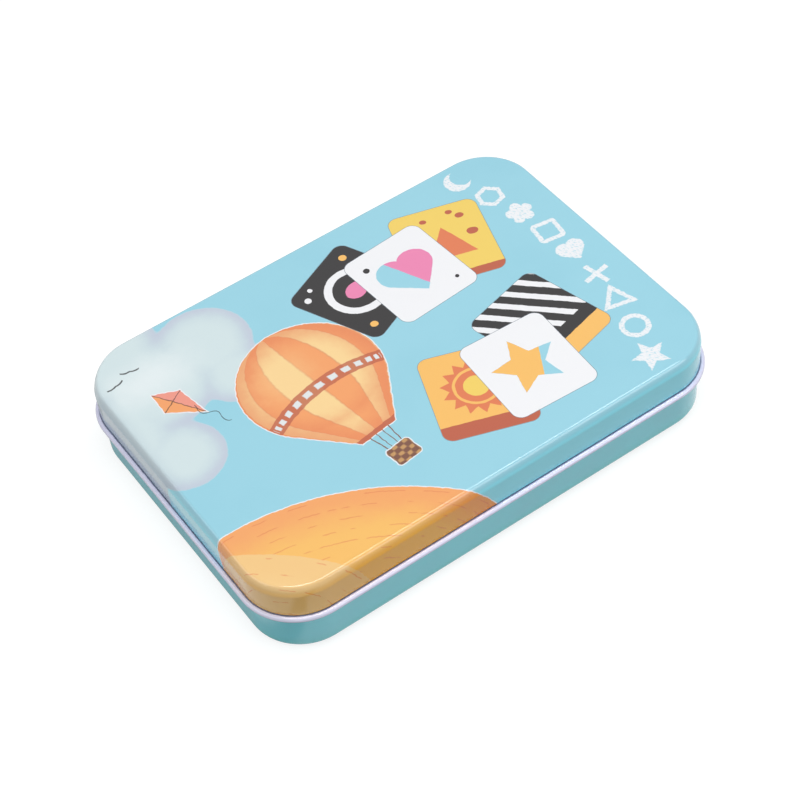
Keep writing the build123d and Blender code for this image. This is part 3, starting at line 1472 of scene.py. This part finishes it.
@dataclass(frozen=True)
class CardPrint:
    """The picture side of a card: a pattern on a coloured field inside a white border.

    Attributes:
        pattern: the pattern.
        field_ink: the field's ink.
        mark_ink: the pattern's ink.
        foot_ink: the ink of the plain foot.
        middle_x: the card's middle.
        pitch: the pattern's repeat.
        border: the white border's width.
        foot_line: where the foot starts.
    """

    pattern: Pattern
    field_ink: Colour
    mark_ink: Colour
    foot_ink: Colour
    middle_x: float
    pitch: float = 9.0
    border: float = 3.2
    foot_line: float = -26.0

    def draw(self, layers: Layers, flat: Plane2D, face: Field) -> None:
        """Lays the print on a card's face.

        Args:
            layers: the card's inks so far.
            flat: position seen from above.
            face: where the face is.
        """
        local = flat.placed(self.middle_x, 0.0)
        half_x = CardStacks.width / 2 - self.border
        half_y = CardStacks.length / 2 - self.border
        inside = local.block(half_x, half_y, CardStacks.corner - self.border).cover() * face
        layers.paint(self.field_ink, inside)
        x, y = local.axes()
        repeat = self.pitch / 2
        marks: dict[Pattern, Callable[[], Field]] = {
            Pattern.STRIPES: lambda: (x + y).fold(repeat) - self.pitch * 0.22,
            Pattern.DOTS: lambda: self.dots(x.fold(repeat), y.fold(repeat)),
            Pattern.CHECKS: lambda: self.checks(x.fold(self.pitch), y.fold(self.pitch)),
            Pattern.WAVES: lambda: self.waves(x, y, repeat),
            Pattern.RINGS: lambda: local.disc(0.0).fold(repeat) - self.pitch * 0.2,
        }
        layers.paint(self.mark_ink, marks[self.pattern]().cover() * inside)
        layers.paint(self.foot_ink, (y - self.foot_line).cover() * inside)

    def waves(self, x: Field, y: Field, repeat: float) -> Field:
        """Wavy bars."""
        return (y + (x * 0.5).apply("SINE") * 1.8).fold(repeat) - self.pitch * 0.18

    def dots(self, across: Field, along: Field) -> Field:
        """Round spots on a square grid."""
        return (across * across + along * along).apply("SQRT") - self.pitch * 0.27

    def checks(self, across: Field, along: Field) -> Field:
        """Chequers."""
        return (across - self.pitch / 2) * (along - self.pitch / 2) * (1 / self.pitch)


@dataclass(frozen=True)
class WindowPrint:
    """The plain side of a window card: a thin teal frame with an amber dot in each corner.

    Attributes:
        middle_x: the card's middle.
        border: the frame's half sizes and the radius of its corners.
        line: the frame's width.
        dot: a dot's radius and how far out it stands.
    """

    middle_x: float
    border: tuple[float, float, float] = (28.5, 41.5, 4.0)
    line: float = 0.8
    dot: tuple[float, float, float] = (2.0, 22.5, 35.5)

    def draw(self, layers: Layers, flat: Plane2D, face: Field) -> None:
        """Lays the frame on a card's face.

        Args:
            layers: the card's inks so far.
            flat: position seen from above.
            face: where the face is.
        """
        local = flat.placed(self.middle_x, 0.0)
        layers.paint(Palette.TEAL, local.block(*self.border).line(self.line).cover() * face)
        layers.paint(Palette.AMBER, local.moved("ABSOLUTE").disc(*self.dot).cover() * face)


# ------------------------------------------------------------------ modelling
@dataclass(frozen=True)
class Corner:
    """A corner of a sheet's middle line: u outwards from the lid's wall, height, bend."""

    u: float
    z: float
    radius: float = 0.0
    segments: int = 1


@dataclass
class BentSheet:
    """A sheet's middle line, swept round a rim with four rounded corners."""

    corners: Sequence[Corner]
    corner_steps: int = 22
    stations: Sequence[float] = ()
    merge_gap: float = 0.004

    def section(self, mesh: bmesh.types.BMesh, place: Matrix) -> list[bmesh.types.BMEdge]:
        """Draws the middle line as a wire and rounds its corners.

        Args:
            mesh: the mesh it is drawn in.
            place: takes (u, 0, z) to where the wire lies.

        Returns:
            The wire's edges.
        """
        before = set(mesh.edges)
        points = [mesh.verts.new(place @ Vector((c.u, 0, c.z))) for c in self.corners]
        for start, end in zip(points, points[1:]):
            mesh.edges.new((start, end))
        flat = [Vector((c.u, c.z)) for c in self.corners]
        for i, corner in enumerate(self.corners):
            if corner.radius:
                turn = (flat[i] - flat[i - 1]).angle(flat[i + 1] - flat[i])
                bmesh.ops.bevel(
                    mesh,
                    geom=[points[i]],
                    offset=corner.radius * math.tan(turn / 2),
                    offset_type="OFFSET",
                    segments=corner.segments,
                    profile=0.5,
                    affect="VERTICES",
                    material=-1,
                )
        return [edge for edge in mesh.edges if edge not in before]

    def advance(self, mesh: bmesh.types.BMesh, edges: list, move: Vector) -> list:
        """Extrudes the section along a straight run.

        Args:
            mesh: the mesh.
            edges: the section's edges.
            move: the run.

        Returns:
            The far section's edges.
        """
        made = bmesh.ops.extrude_edge_only(mesh, edges=edges)["geom"]
        points = [item for item in made if isinstance(item, bmesh.types.BMVert)]
        bmesh.ops.translate(mesh, verts=points, vec=move)
        far = set(points)
        return [e for e in made if isinstance(e, bmesh.types.BMEdge) and set(e.verts) <= far]

    def sweep(self, mesh: bmesh.types.BMesh) -> None:
        """Carries the section round the rim: a turn at each corner, a run along each side.

        The rear side, which carries the hinge, is run in steps between the stations.

        Args:
            mesh: the mesh it is built in.
        """
        across, along = TIN.straight_x, TIN.straight_y
        rear_marks = [across - x for x in sorted(self.stations, reverse=True)]
        sides = (
            ((across, -along), Vector((0, 1, 0)), [0.0, 2 * along]),
            ((across, along), Vector((-1, 0, 0)), [0.0, *rear_marks, 2 * across]),
            ((-across, along), Vector((0, -1, 0)), [0.0, 2 * along]),
            ((-across, -along), Vector((1, 0, 0)), [0.0, 2 * across]),
        )
        start = Matrix.Translation((across, -along - TIN.corner_r, 0))
        edges = self.section(mesh, start @ Matrix.Rotation(-math.pi / 2, 4, "Z"))
        for (x, y), heading, marks in sides:
            turned = bmesh.ops.spin(
                mesh,
                geom=edges,
                cent=(x, y, 0),
                axis=(0, 0, 1),
                angle=math.pi / 2,
                steps=self.corner_steps,
                use_duplicate=False,
            )
            edges = [item for item in turned["geom_last"] if isinstance(item, bmesh.types.BMEdge)]
            for near, far in zip(marks, marks[1:]):
                edges = self.advance(mesh, edges, heading * (far - near))
        bmesh.ops.remove_doubles(mesh, verts=mesh.verts, dist=self.merge_gap)


def drawn_shell(
    line: Sequence[Corner], offsets: Sequence[float], plate_z: float
) -> bmesh.types.BMesh:
    """Makes a drawn sheet: a rim all round, closed by one flat plate.

    Args:
        line: the sheet's middle line, plate first.
        offsets: where the rear side is divided, from each knuckle's middle.
        plate_z: the plate's height.

    Returns:
        The mesh, without thickness.
    """
    mesh = bmesh.new()
    stations = [x + offset for x in TIN.knuckle_middles for offset in offsets]
    BentSheet(line, stations=stations).sweep(mesh)
    near = 0.01
    level = {v for v in mesh.verts if abs(v.co.z - plate_z) < near}
    rim = [e for e in mesh.edges if e.is_boundary and set(e.verts) <= level]
    bmesh.ops.contextual_create(mesh, geom=rim)
    return mesh


def cut_box(mesh: bmesh.types.BMesh, low: Vector, high: Vector) -> None:
    """Deletes the faces whose middle lies between two corners.

    Args:
        mesh: the mesh.
        low: the box's lowest corner.
        high: its highest corner.
    """
    inside = []
    for face in mesh.faces:
        middle = face.calc_center_median()
        if all(a < m < b for a, m, b in zip(low, middle, high)):
            inside.append(face)
    bmesh.ops.delete(mesh, geom=inside, context="FACES")


def face_outwards(mesh: bmesh.types.BMesh, upwards: bool) -> None:
    """Makes the faces agree, with the flat plate facing up or down.

    Args:
        mesh: the mesh.
        upwards: whether its flat plate faces up.
    """
    bmesh.ops.recalc_face_normals(mesh, faces=mesh.faces)
    mesh.normal_update()
    plate = max(mesh.faces, key=lambda face: face.calc_area())
    if (plate.normal.z > 0) != upwards:
        bmesh.ops.reverse_faces(mesh, faces=mesh.faces)


def finished_piece(
    name: str, mesh: bmesh.types.BMesh, materials: Sequence[bpy.types.Material], smooth: bool = True
) -> bpy.types.Object:
    """Turns a mesh in mm into an object in metres at the origin.

    Args:
        name: the piece's name.
        mesh: its mesh, which is freed.
        materials: its material slots, in order.
        smooth: whether its faces are shaded smooth.

    Returns:
        The object, linked to the scene.
    """
    bmesh.ops.scale(mesh, vec=(MM, MM, MM), verts=mesh.verts)
    for face in mesh.faces:
        face.smooth = smooth
    data = bpy.data.meshes.new(name)
    mesh.to_mesh(data)
    mesh.free()
    for material in materials:
        data.materials.append(material)
    piece = bpy.data.objects.new(name, data)
    bpy.context.scene.collection.objects.link(piece)
    return piece


def thicken(piece: bpy.types.Object, thickness: float, inner: int, edge: int) -> None:
    """Gives a middle-line mesh its sheet thickness and even shading.

    Args:
        piece: the piece.
        thickness: the sheet's thickness.
        inner: material slot of the inner side.
        edge: material slot of the sheared edges.
    """
    solid = piece.modifiers.new("sheet", "SOLIDIFY")
    solid.thickness = thickness * MM
    solid.offset = 0.0
    solid.use_even_offset = True
    solid.material_offset = inner
    solid.material_offset_rim = edge
    shading = piece.modifiers.new("shading", "WEIGHTED_NORMAL")
    shading.keep_sharp = True
    shading.weight = FLAT_WEIGHT


# ------------------------------------------------------------------ the tin
@dataclass
class BasePan:
    """Drawn pan with raised floor panel, rolled stop bead and hemmed neck."""

    wall_u: float = -0.575
    foot_u: float = -6.0
    panel_run: float = 0.8
    panel_z: float = 0.725
    panel_r: float = 0.35
    bottom_r: float = 2.075
    neck_u: float = -1.025
    neck_top: float = 17.095
    fold_r: float = 0.12
    hem_r: float = 0.2
    hem_gap: float = 0.45
    hem_end: float = 15.92
    slot_side: float = 0.3
    slot_low: float = 11.97
    slot_high: float = 14.57
    slot_u: float = 0.15
    slot_depth: float = 1.0

    def line(self) -> list[Corner]:
        """Middle line from the flat floor to the folded edge of the neck.

        Returns:
            The line's corners, in order.
        """
        floor_z = TIN.sheet / 2
        low, high = TIN.bead_z - TIN.bead_mid_r, TIN.bead_z + TIN.bead_mid_r
        nose_u = TIN.bead_u + TIN.bead_mid_r
        return [
            Corner(-TIN.plate_inset, self.panel_z),
            Corner(self.foot_u - self.panel_run, self.panel_z, self.panel_r, 3),
            Corner(self.foot_u, floor_z, self.panel_r, 3),
            Corner(self.wall_u, floor_z, self.bottom_r, 10),
            Corner(self.wall_u, self.slot_low),
            Corner(self.wall_u, low, self.fold_r, 3),
            Corner(self.slot_u, low),
            Corner(nose_u, low, TIN.bead_mid_r, 8),
            Corner(nose_u, high, TIN.bead_mid_r, 8),
            Corner(self.slot_u, high),
            Corner(self.neck_u, high, self.fold_r, 3),
            Corner(self.neck_u, self.slot_high),
            Corner(self.neck_u, self.neck_top, self.hem_r, 4),
            Corner(self.neck_u - self.hem_gap, self.neck_top, self.hem_r, 4),
            Corner(self.neck_u - self.hem_gap, self.hem_end),
        ]

    def build(self) -> bpy.types.Object:
        """Makes the pan and has it stand for the CAD pan.

        Returns:
            The pan.
        """
        half = TIN.knuckle_width / 2 + self.slot_side
        mesh = drawn_shell(self.line(), (-half, half), self.panel_z)
        rear = TIN.width / 2
        for x in TIN.knuckle_middles:
            low = Vector((x - half, rear + self.neck_u - self.slot_depth, self.slot_low))
            high = Vector((x + half, rear + self.slot_u, self.slot_high))
            cut_box(mesh, low, high)
        face_outwards(mesh, upwards=False)
        slots = (BasePrint().material(), InsideLacquer().material(), ShearedEdge().material())
        pan = finished_piece("base_shell", mesh, slots)
        thicken(pan, TIN.sheet, inner=1, edge=2)
        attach(pan, "base")
        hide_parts("base_pan")
        return pan


@dataclass
class Lid:
    """Drawn lid with a creased top edge, a folded hem and two rolled hinge knuckles."""

    crease_u: float = -1.26
    crease_r: float = 0.8
    break_u: float = -0.6
    break_drop: float = 0.92
    shoulder_drop: float = 2.75
    shoulder_r: float = 3.0
    fold: float = 0.45
    fold_r: float = 0.2
    relief: float = 0.5
    cut_in: float = 1.5
    cut_out: float = 1.0
    cut_below: float = 0.5
    knuckle_fit: float = 0.05
    knuckle_bend: float = 0.25
    knuckle_wrap: float = 270.0
    roll_steps: int = 26

    def line(self) -> list[Corner]:
        """Middle line from the flat top to the end of the hem.

        Returns:
            The line's corners, in order.
        """
        half = TIN.sheet / 2
        plate = TIN.top - half
        bottom = TIN.skirt_bottom + half
        return [
            Corner(-TIN.plate_inset, plate),
            Corner(self.crease_u, plate, self.crease_r, 9),
            Corner(self.break_u, plate - self.break_drop, self.shoulder_r, 4),
            Corner(-half, TIN.top - self.shoulder_drop, self.shoulder_r, 4),
            Corner(-half, TIN.hem_top + self.relief),
            Corner(-half, bottom, self.fold_r, 4),
            Corner(-half - self.fold, bottom, self.fold_r, 4),
            Corner(-half - self.fold, TIN.hem_top),
        ]

    def knuckle(self, mesh: bmesh.types.BMesh, x: float) -> None:
        """Adds a tongue of the rear skirt, bent outwards and rolled round the bead.

        Args:
            mesh: the lid's mesh.
            x: the knuckle's middle.
        """
        half = TIN.sheet / 2
        roll_r = TIN.bead_mid_r + TIN.sheet + self.knuckle_fit
        rear = TIN.width / 2
        tongue = BentSheet(
            (
                Corner(-half, TIN.hem_top + self.relief),
                Corner(-half, TIN.bead_z + roll_r, self.knuckle_bend, 3),
                Corner(TIN.bead_u, TIN.bead_z + roll_r),
            )
        )
        edge_x = x - TIN.knuckle_width / 2
        before = set(mesh.edges)
        place = Matrix.Translation((edge_x, rear, 0)) @ Matrix.Rotation(math.pi / 2, 4, "Z")
        edges = tongue.section(mesh, place)
        tip = max((v for e in edges for v in e.verts), key=lambda v: v.co.y)
        bmesh.ops.spin(
            mesh,
            geom=[tip],
            cent=(edge_x, rear + TIN.bead_u, TIN.bead_z),
            axis=(1, 0, 0),
            angle=-math.radians(self.knuckle_wrap),
            steps=self.roll_steps,
            use_duplicate=False,
        )
        strip = [e for e in mesh.edges if e not in before]
        tongue.advance(mesh, strip, Vector((TIN.knuckle_width, 0, 0)))

    def build(self) -> bpy.types.Object:
        """Makes the lid and has it stand for the CAD lid.

        Returns:
            The lid.
        """
        half = TIN.knuckle_width / 2
        notch = half + self.relief
        mesh = drawn_shell(self.line(), (-notch, -half, half, notch), TIN.top - TIN.sheet / 2)
        rear = TIN.width / 2
        for x in TIN.knuckle_middles:
            low = Vector((x - notch, rear - self.cut_in, TIN.skirt_bottom - self.cut_below))
            high = Vector((x + notch, rear + self.cut_out, TIN.hem_top + self.relief))
            cut_box(mesh, low, high)
            self.knuckle(mesh, x)
        bmesh.ops.remove_doubles(mesh, verts=mesh.verts, dist=BentSheet.merge_gap)
        face_outwards(mesh, upwards=True)
        slots = (LidPrint().material(), InsideLacquer().material(), ShearedEdge().material())
        lid = finished_piece("lid_shell", mesh, slots)
        thicken(lid, TIN.sheet, inner=1, edge=2)
        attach(lid, "lid")
        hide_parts("lid")
        return lid


# ------------------------------------------------------------------ contents
@dataclass
class CardStacks:
    """The two stacks of thick cards, whose CAD boards get their prints here."""

    width = 64.0
    length = 90.0
    corner = 6.5
    thickness = 1.5
    count: int = 10
    stack_x: float = 32.75
    first_z: float = 0.88
    pitch: float = 1.53

    def picture(self, index: int) -> CardPrint:
        """Picture for one card, patterns and inks taken in turn.

        Args:
            index: the card's place in its stack, from 0.

        Returns:
            Its print.
        """
        patterns = list(Pattern)
        grounds = (Palette.AMBER, Palette.CLOUD, Palette.YELLOW, Palette.TEAL, Palette.PINK)
        marks = (
            Palette.ORANGE_DEEP,
            Palette.BLACK,
            Palette.RUST,
            Palette.WHITE,
            Palette.CLOUD_LIGHT,
        )
        feet = (Palette.RUST, Palette.TEAL, Palette.BLACK, Palette.AMBER)
        return CardPrint(
            patterns[index % len(patterns)],
            grounds[(index * 2) % len(grounds)],
            marks[(index * 2) % len(marks)],
            feet[index % len(feet)],
            -self.stack_x,
        )

    def build(self) -> list[bpy.types.Object]:
        """Dresses every card.

        Returns:
            The cards, from the lowest pair up.
        """
        dressed = []
        for i in range(self.count):
            low = self.first_z + i * self.pitch
            for stem, face in (("picture", self.picture(i)), ("window", WindowPrint(self.stack_x))):
                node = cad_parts[f"{stem}_card_{i + 1:02d}"]
                board = CardBoard(f"{stem}_board_{i + 1:02d}", low, face)
                node.material_slots[0].material = board.material()
                dressed.append(node)
        return dressed


@dataclass
class Leaflet:
    """Printed sheet folded once, its upper leaf sprung open a little."""

    length: float = 112.0
    width: float = 78.0
    paper: float = 0.12
    low: float = 16.24
    fold: float = 0.4
    opening: float = 1.3
    inset: float = 0.1
    short_leaf: float = 0.4
    merge_gap: float = 0.002

    def build(self) -> bpy.types.Object:
        """Makes the sheet and has it stand for the CAD leaflet.

        Returns:
            The leaflet.
        """
        front, back = -self.width / 2 + self.inset, self.width / 2 - self.inset
        bend_r = self.fold / 2
        sheet = BentSheet(
            (
                Corner(front, self.low),
                Corner(back, self.low, bend_r, 5),
                Corner(back, self.low + self.fold, bend_r, 5),
                Corner(front + self.short_leaf, self.low + self.fold),
            )
        )
        mesh = bmesh.new()
        end = Matrix.Translation((-self.length / 2 + self.inset, 0, 0))
        edges = sheet.section(mesh, end @ Matrix.Rotation(math.pi / 2, 4, "Z"))
        sheet.advance(mesh, edges, Vector((self.length - 2 * self.inset, 0, 0)))
        bmesh.ops.rotate(
            mesh,
            verts=[v for v in mesh.verts if v.co.z > self.low + bend_r],
            cent=(0, back, self.low + bend_r),
            matrix=Matrix.Rotation(-math.radians(self.opening), 3, "X"),
        )
        bmesh.ops.remove_doubles(mesh, verts=mesh.verts, dist=self.merge_gap)
        bmesh.ops.recalc_face_normals(mesh, faces=mesh.faces)
        leaflet = finished_piece("leaflet_sheet", mesh, (LeafletPaper().material(),))
        thicken(leaflet, self.paper, inner=0, edge=0)
        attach(leaflet, "base")
        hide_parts("rules_leaflet")
        return leaflet


# ------------------------------------------------------------------ studio
def stand(
    name: str,
    data: bpy.types.Camera | bpy.types.Light,
    place_m: Vector,
    aim_m: Vector,
    roll: float = 0.0,
) -> bpy.types.Object:
    """Adds a camera or a lamp that looks from one point at another.

    Args:
        name: its name.
        data: the camera or lamp.
        place_m: where it stands.
        aim_m: what it looks at.
        roll: its turn about its own line of sight, in degrees.

    Returns:
        The object, linked to the scene.
    """
    holder = bpy.data.objects.new(name, data)
    bpy.context.scene.collection.objects.link(holder)
    look = (aim_m - place_m).to_track_quat("-Z", "Y").to_matrix().to_4x4()
    turn = Matrix.Rotation(math.radians(roll), 4, "Z")
    holder.matrix_world = Matrix.Translation(place_m) @ look @ turn
    return holder


@dataclass(frozen=True)
class SoftBox:
    """Rectangular lamp, outside the object.

    Attributes:
        name: its name.
        place_m: where it hangs.
        aim_m: what it points at.
        sides_m: its two sides.
        watts: its power.
    """

    name: str
    place_m: tuple[float, float, float]
    aim_m: tuple[float, float, float]
    sides_m: tuple[float, float]
    watts: float

    def build(self) -> None:
        """Hangs the lamp."""
        data = bpy.data.lights.new(self.name, "AREA")
        data.shape = "RECTANGLE"
        data.size, data.size_y = self.sides_m
        data.energy = self.watts
        stand(self.name, data, Vector(self.place_m), Vector(self.aim_m))


@dataclass
class Studio:
    """Pale sweep, soft lights and the camera, all outside the object.

    Attributes:
        lens: focal length.
        sensor: the sensor's width.
        clip_m: the nearest and farthest the camera sees.
        eye: where the camera stands.
        aim: what it looks at.
        roll: its turn about its line of sight, in degrees.
        floor_half: half the floor's side.
        floor_z: the floor's height, a touch below the tin.
        sky: strength of the white sky as light.
        floor_colour: the floor's grey, as a linear share.
        floor_rough: its roughness.
        floor_lift: the floor's own glow under the tin, for rays that see it directly.
        floor_near_m: within that distance of the middle the glow is floor_lift, and it is
            full from twice that distance.
        side_shade: share of the glow that reflections lose beside the left wall, a painted shadow
            of the tin.
        side_reach: how far that shade goes from the wall.
        lamps: the soft boxes.
    """

    lens: float = 90.525
    sensor: float = 36.0
    clip_m: tuple[float, float] = (0.01, 50.0)
    eye: tuple[float, float, float] = (-175.685, -301.968, 405.361)
    aim: tuple[float, float, float] = (-4.293, -6.872, 15.0)
    roll: float = -6.535
    floor_half: float = 3000.0
    floor_z: float = -0.02
    sky: float = 0.16
    floor_colour: float = 0.27
    floor_rough: float = 0.9
    floor_lift: float = 0.81
    floor_near_m: float = 0.5
    side_shade: float = 0.68
    side_reach: float = 6.0
    lamps: tuple[SoftBox, ...] = (
        SoftBox("key", (0.12, -0.1, 1.1), (0.12, -0.1, 0.0), (1.05, 0.36), 9.1),
        SoftBox("right_fill", (0.55, -1.0, 0.5), (0.0, 0.0, 0.0), (0.7, 0.7), 4.2),
        SoftBox("left_fill", (-1.07, 0.24, 0.64), (0.0, 0.0, 0.0), (1.2, 1.0), 4.6),
    )

    def camera(self) -> None:
        """Places the camera and makes it the scene's."""
        data = bpy.data.cameras.new("camera")
        data.lens = self.lens
        data.sensor_width = self.sensor
        data.clip_start, data.clip_end = self.clip_m
        place_m, aim_m = Vector(self.eye) * MM, Vector(self.aim) * MM
        bpy.context.scene.camera = stand("camera", data, place_m, aim_m, self.roll)

    def seen_directly(self, path: bpy.types.Node) -> Field:
        """1 for camera, glossy and transmission rays, 0 for the rest.

        Args:
            path: the Light Path node.

        Returns:
            The number.
        """
        names = ("Is Camera Ray", "Is Glossy Ray", "Is Transmission Ray")
        camera, glossy, passed = (Field(path.outputs[name]) for name in names)
        return camera.apply("MAXIMUM", glossy).apply("MAXIMUM", passed)

    def world(self) -> None:
        """White to the camera and in reflections, a softer sky as light."""
        world = bpy.data.worlds.new("sky")
        bpy.context.scene.world = world
        world.use_nodes = True
        nodes = world.node_tree.nodes
        seen = self.seen_directly(nodes.new("ShaderNodeLightPath"))
        strength = feed(seen.node("MapRange"), {"Value": seen, "To Min": self.sky, "To Max": 1.0})
        white = (1.0, 1.0, 1.0, 1.0)
        feed(nodes["Background"], {"Color": white, "Strength": Signal(strength.outputs["Result"])})

    def floor(self) -> bpy.types.Object:
        """Wide white table top that keeps the tin's shadow.

        Returns:
            The floor.
        """
        mesh = bmesh.new()
        bmesh.ops.create_grid(mesh, x_segments=1, y_segments=1, size=self.floor_half)
        bmesh.ops.translate(mesh, verts=mesh.verts, vec=(0, 0, self.floor_z))
        surface = bpy.data.materials.new("white_floor")
        surface.use_nodes = True
        nodes = surface.node_tree.nodes
        path = nodes.new("ShaderNodeLightPath")
        place_m = Plane2D(nodes.new("ShaderNodeTexCoord").outputs["Object"])
        far = place_m.disc(self.floor_near_m).spread(0.0, self.floor_near_m, self.floor_lift, 1.0)
        # Painted shadow: beside the tin's left wall the floor glows less for reflected rays.
        beside = place_m.beyond(180.0, TIN.length / 2 * MM).size()
        reach_m = self.side_reach * MM
        shade = beside.spread(reach_m / 3, reach_m, self.side_shade, 0.0)
        unshaded = 1.0 - Field(path.outputs["Is Glossy Ray"]) * shade
        inputs = {
            "Base Color": (*[self.floor_colour] * 3, 1.0),
            "Roughness": self.floor_rough,
            "Specular IOR Level": 0.0,
            "Emission Color": (1.0, 1.0, 1.0, 1.0),
            "Emission Strength": self.seen_directly(path) * far * unshaded,
        }
        feed(nodes["Principled BSDF"], inputs)
        floor = finished_piece("floor", mesh, (surface,), smooth=False)
        return floor

    def build(self) -> None:
        """Sets up everything outside the object."""
        bpy.context.scene.view_settings.view_transform = "Standard"
        self.camera()
        self.world()
        self.floor()
        for lamp in self.lamps:
            lamp.build()


def main() -> None:
    """Builds the studio and the tin, sub-assembly by sub-assembly."""
    logging.basicConfig(level=logging.INFO, format="%(name)s: %(message)s")
    Studio().build()
    for assembly in (BasePan(), Lid(), Leaflet()):
        piece = assembly.build()
        faces = len(piece.data.polygons)
        log.info("%s built as %s, %d faces", type(assembly).__name__, piece.name, faces)
    for board in CardStacks().build():
        log.info("card %s dressed", board.name)


if __name__ == "__main__":
    main()
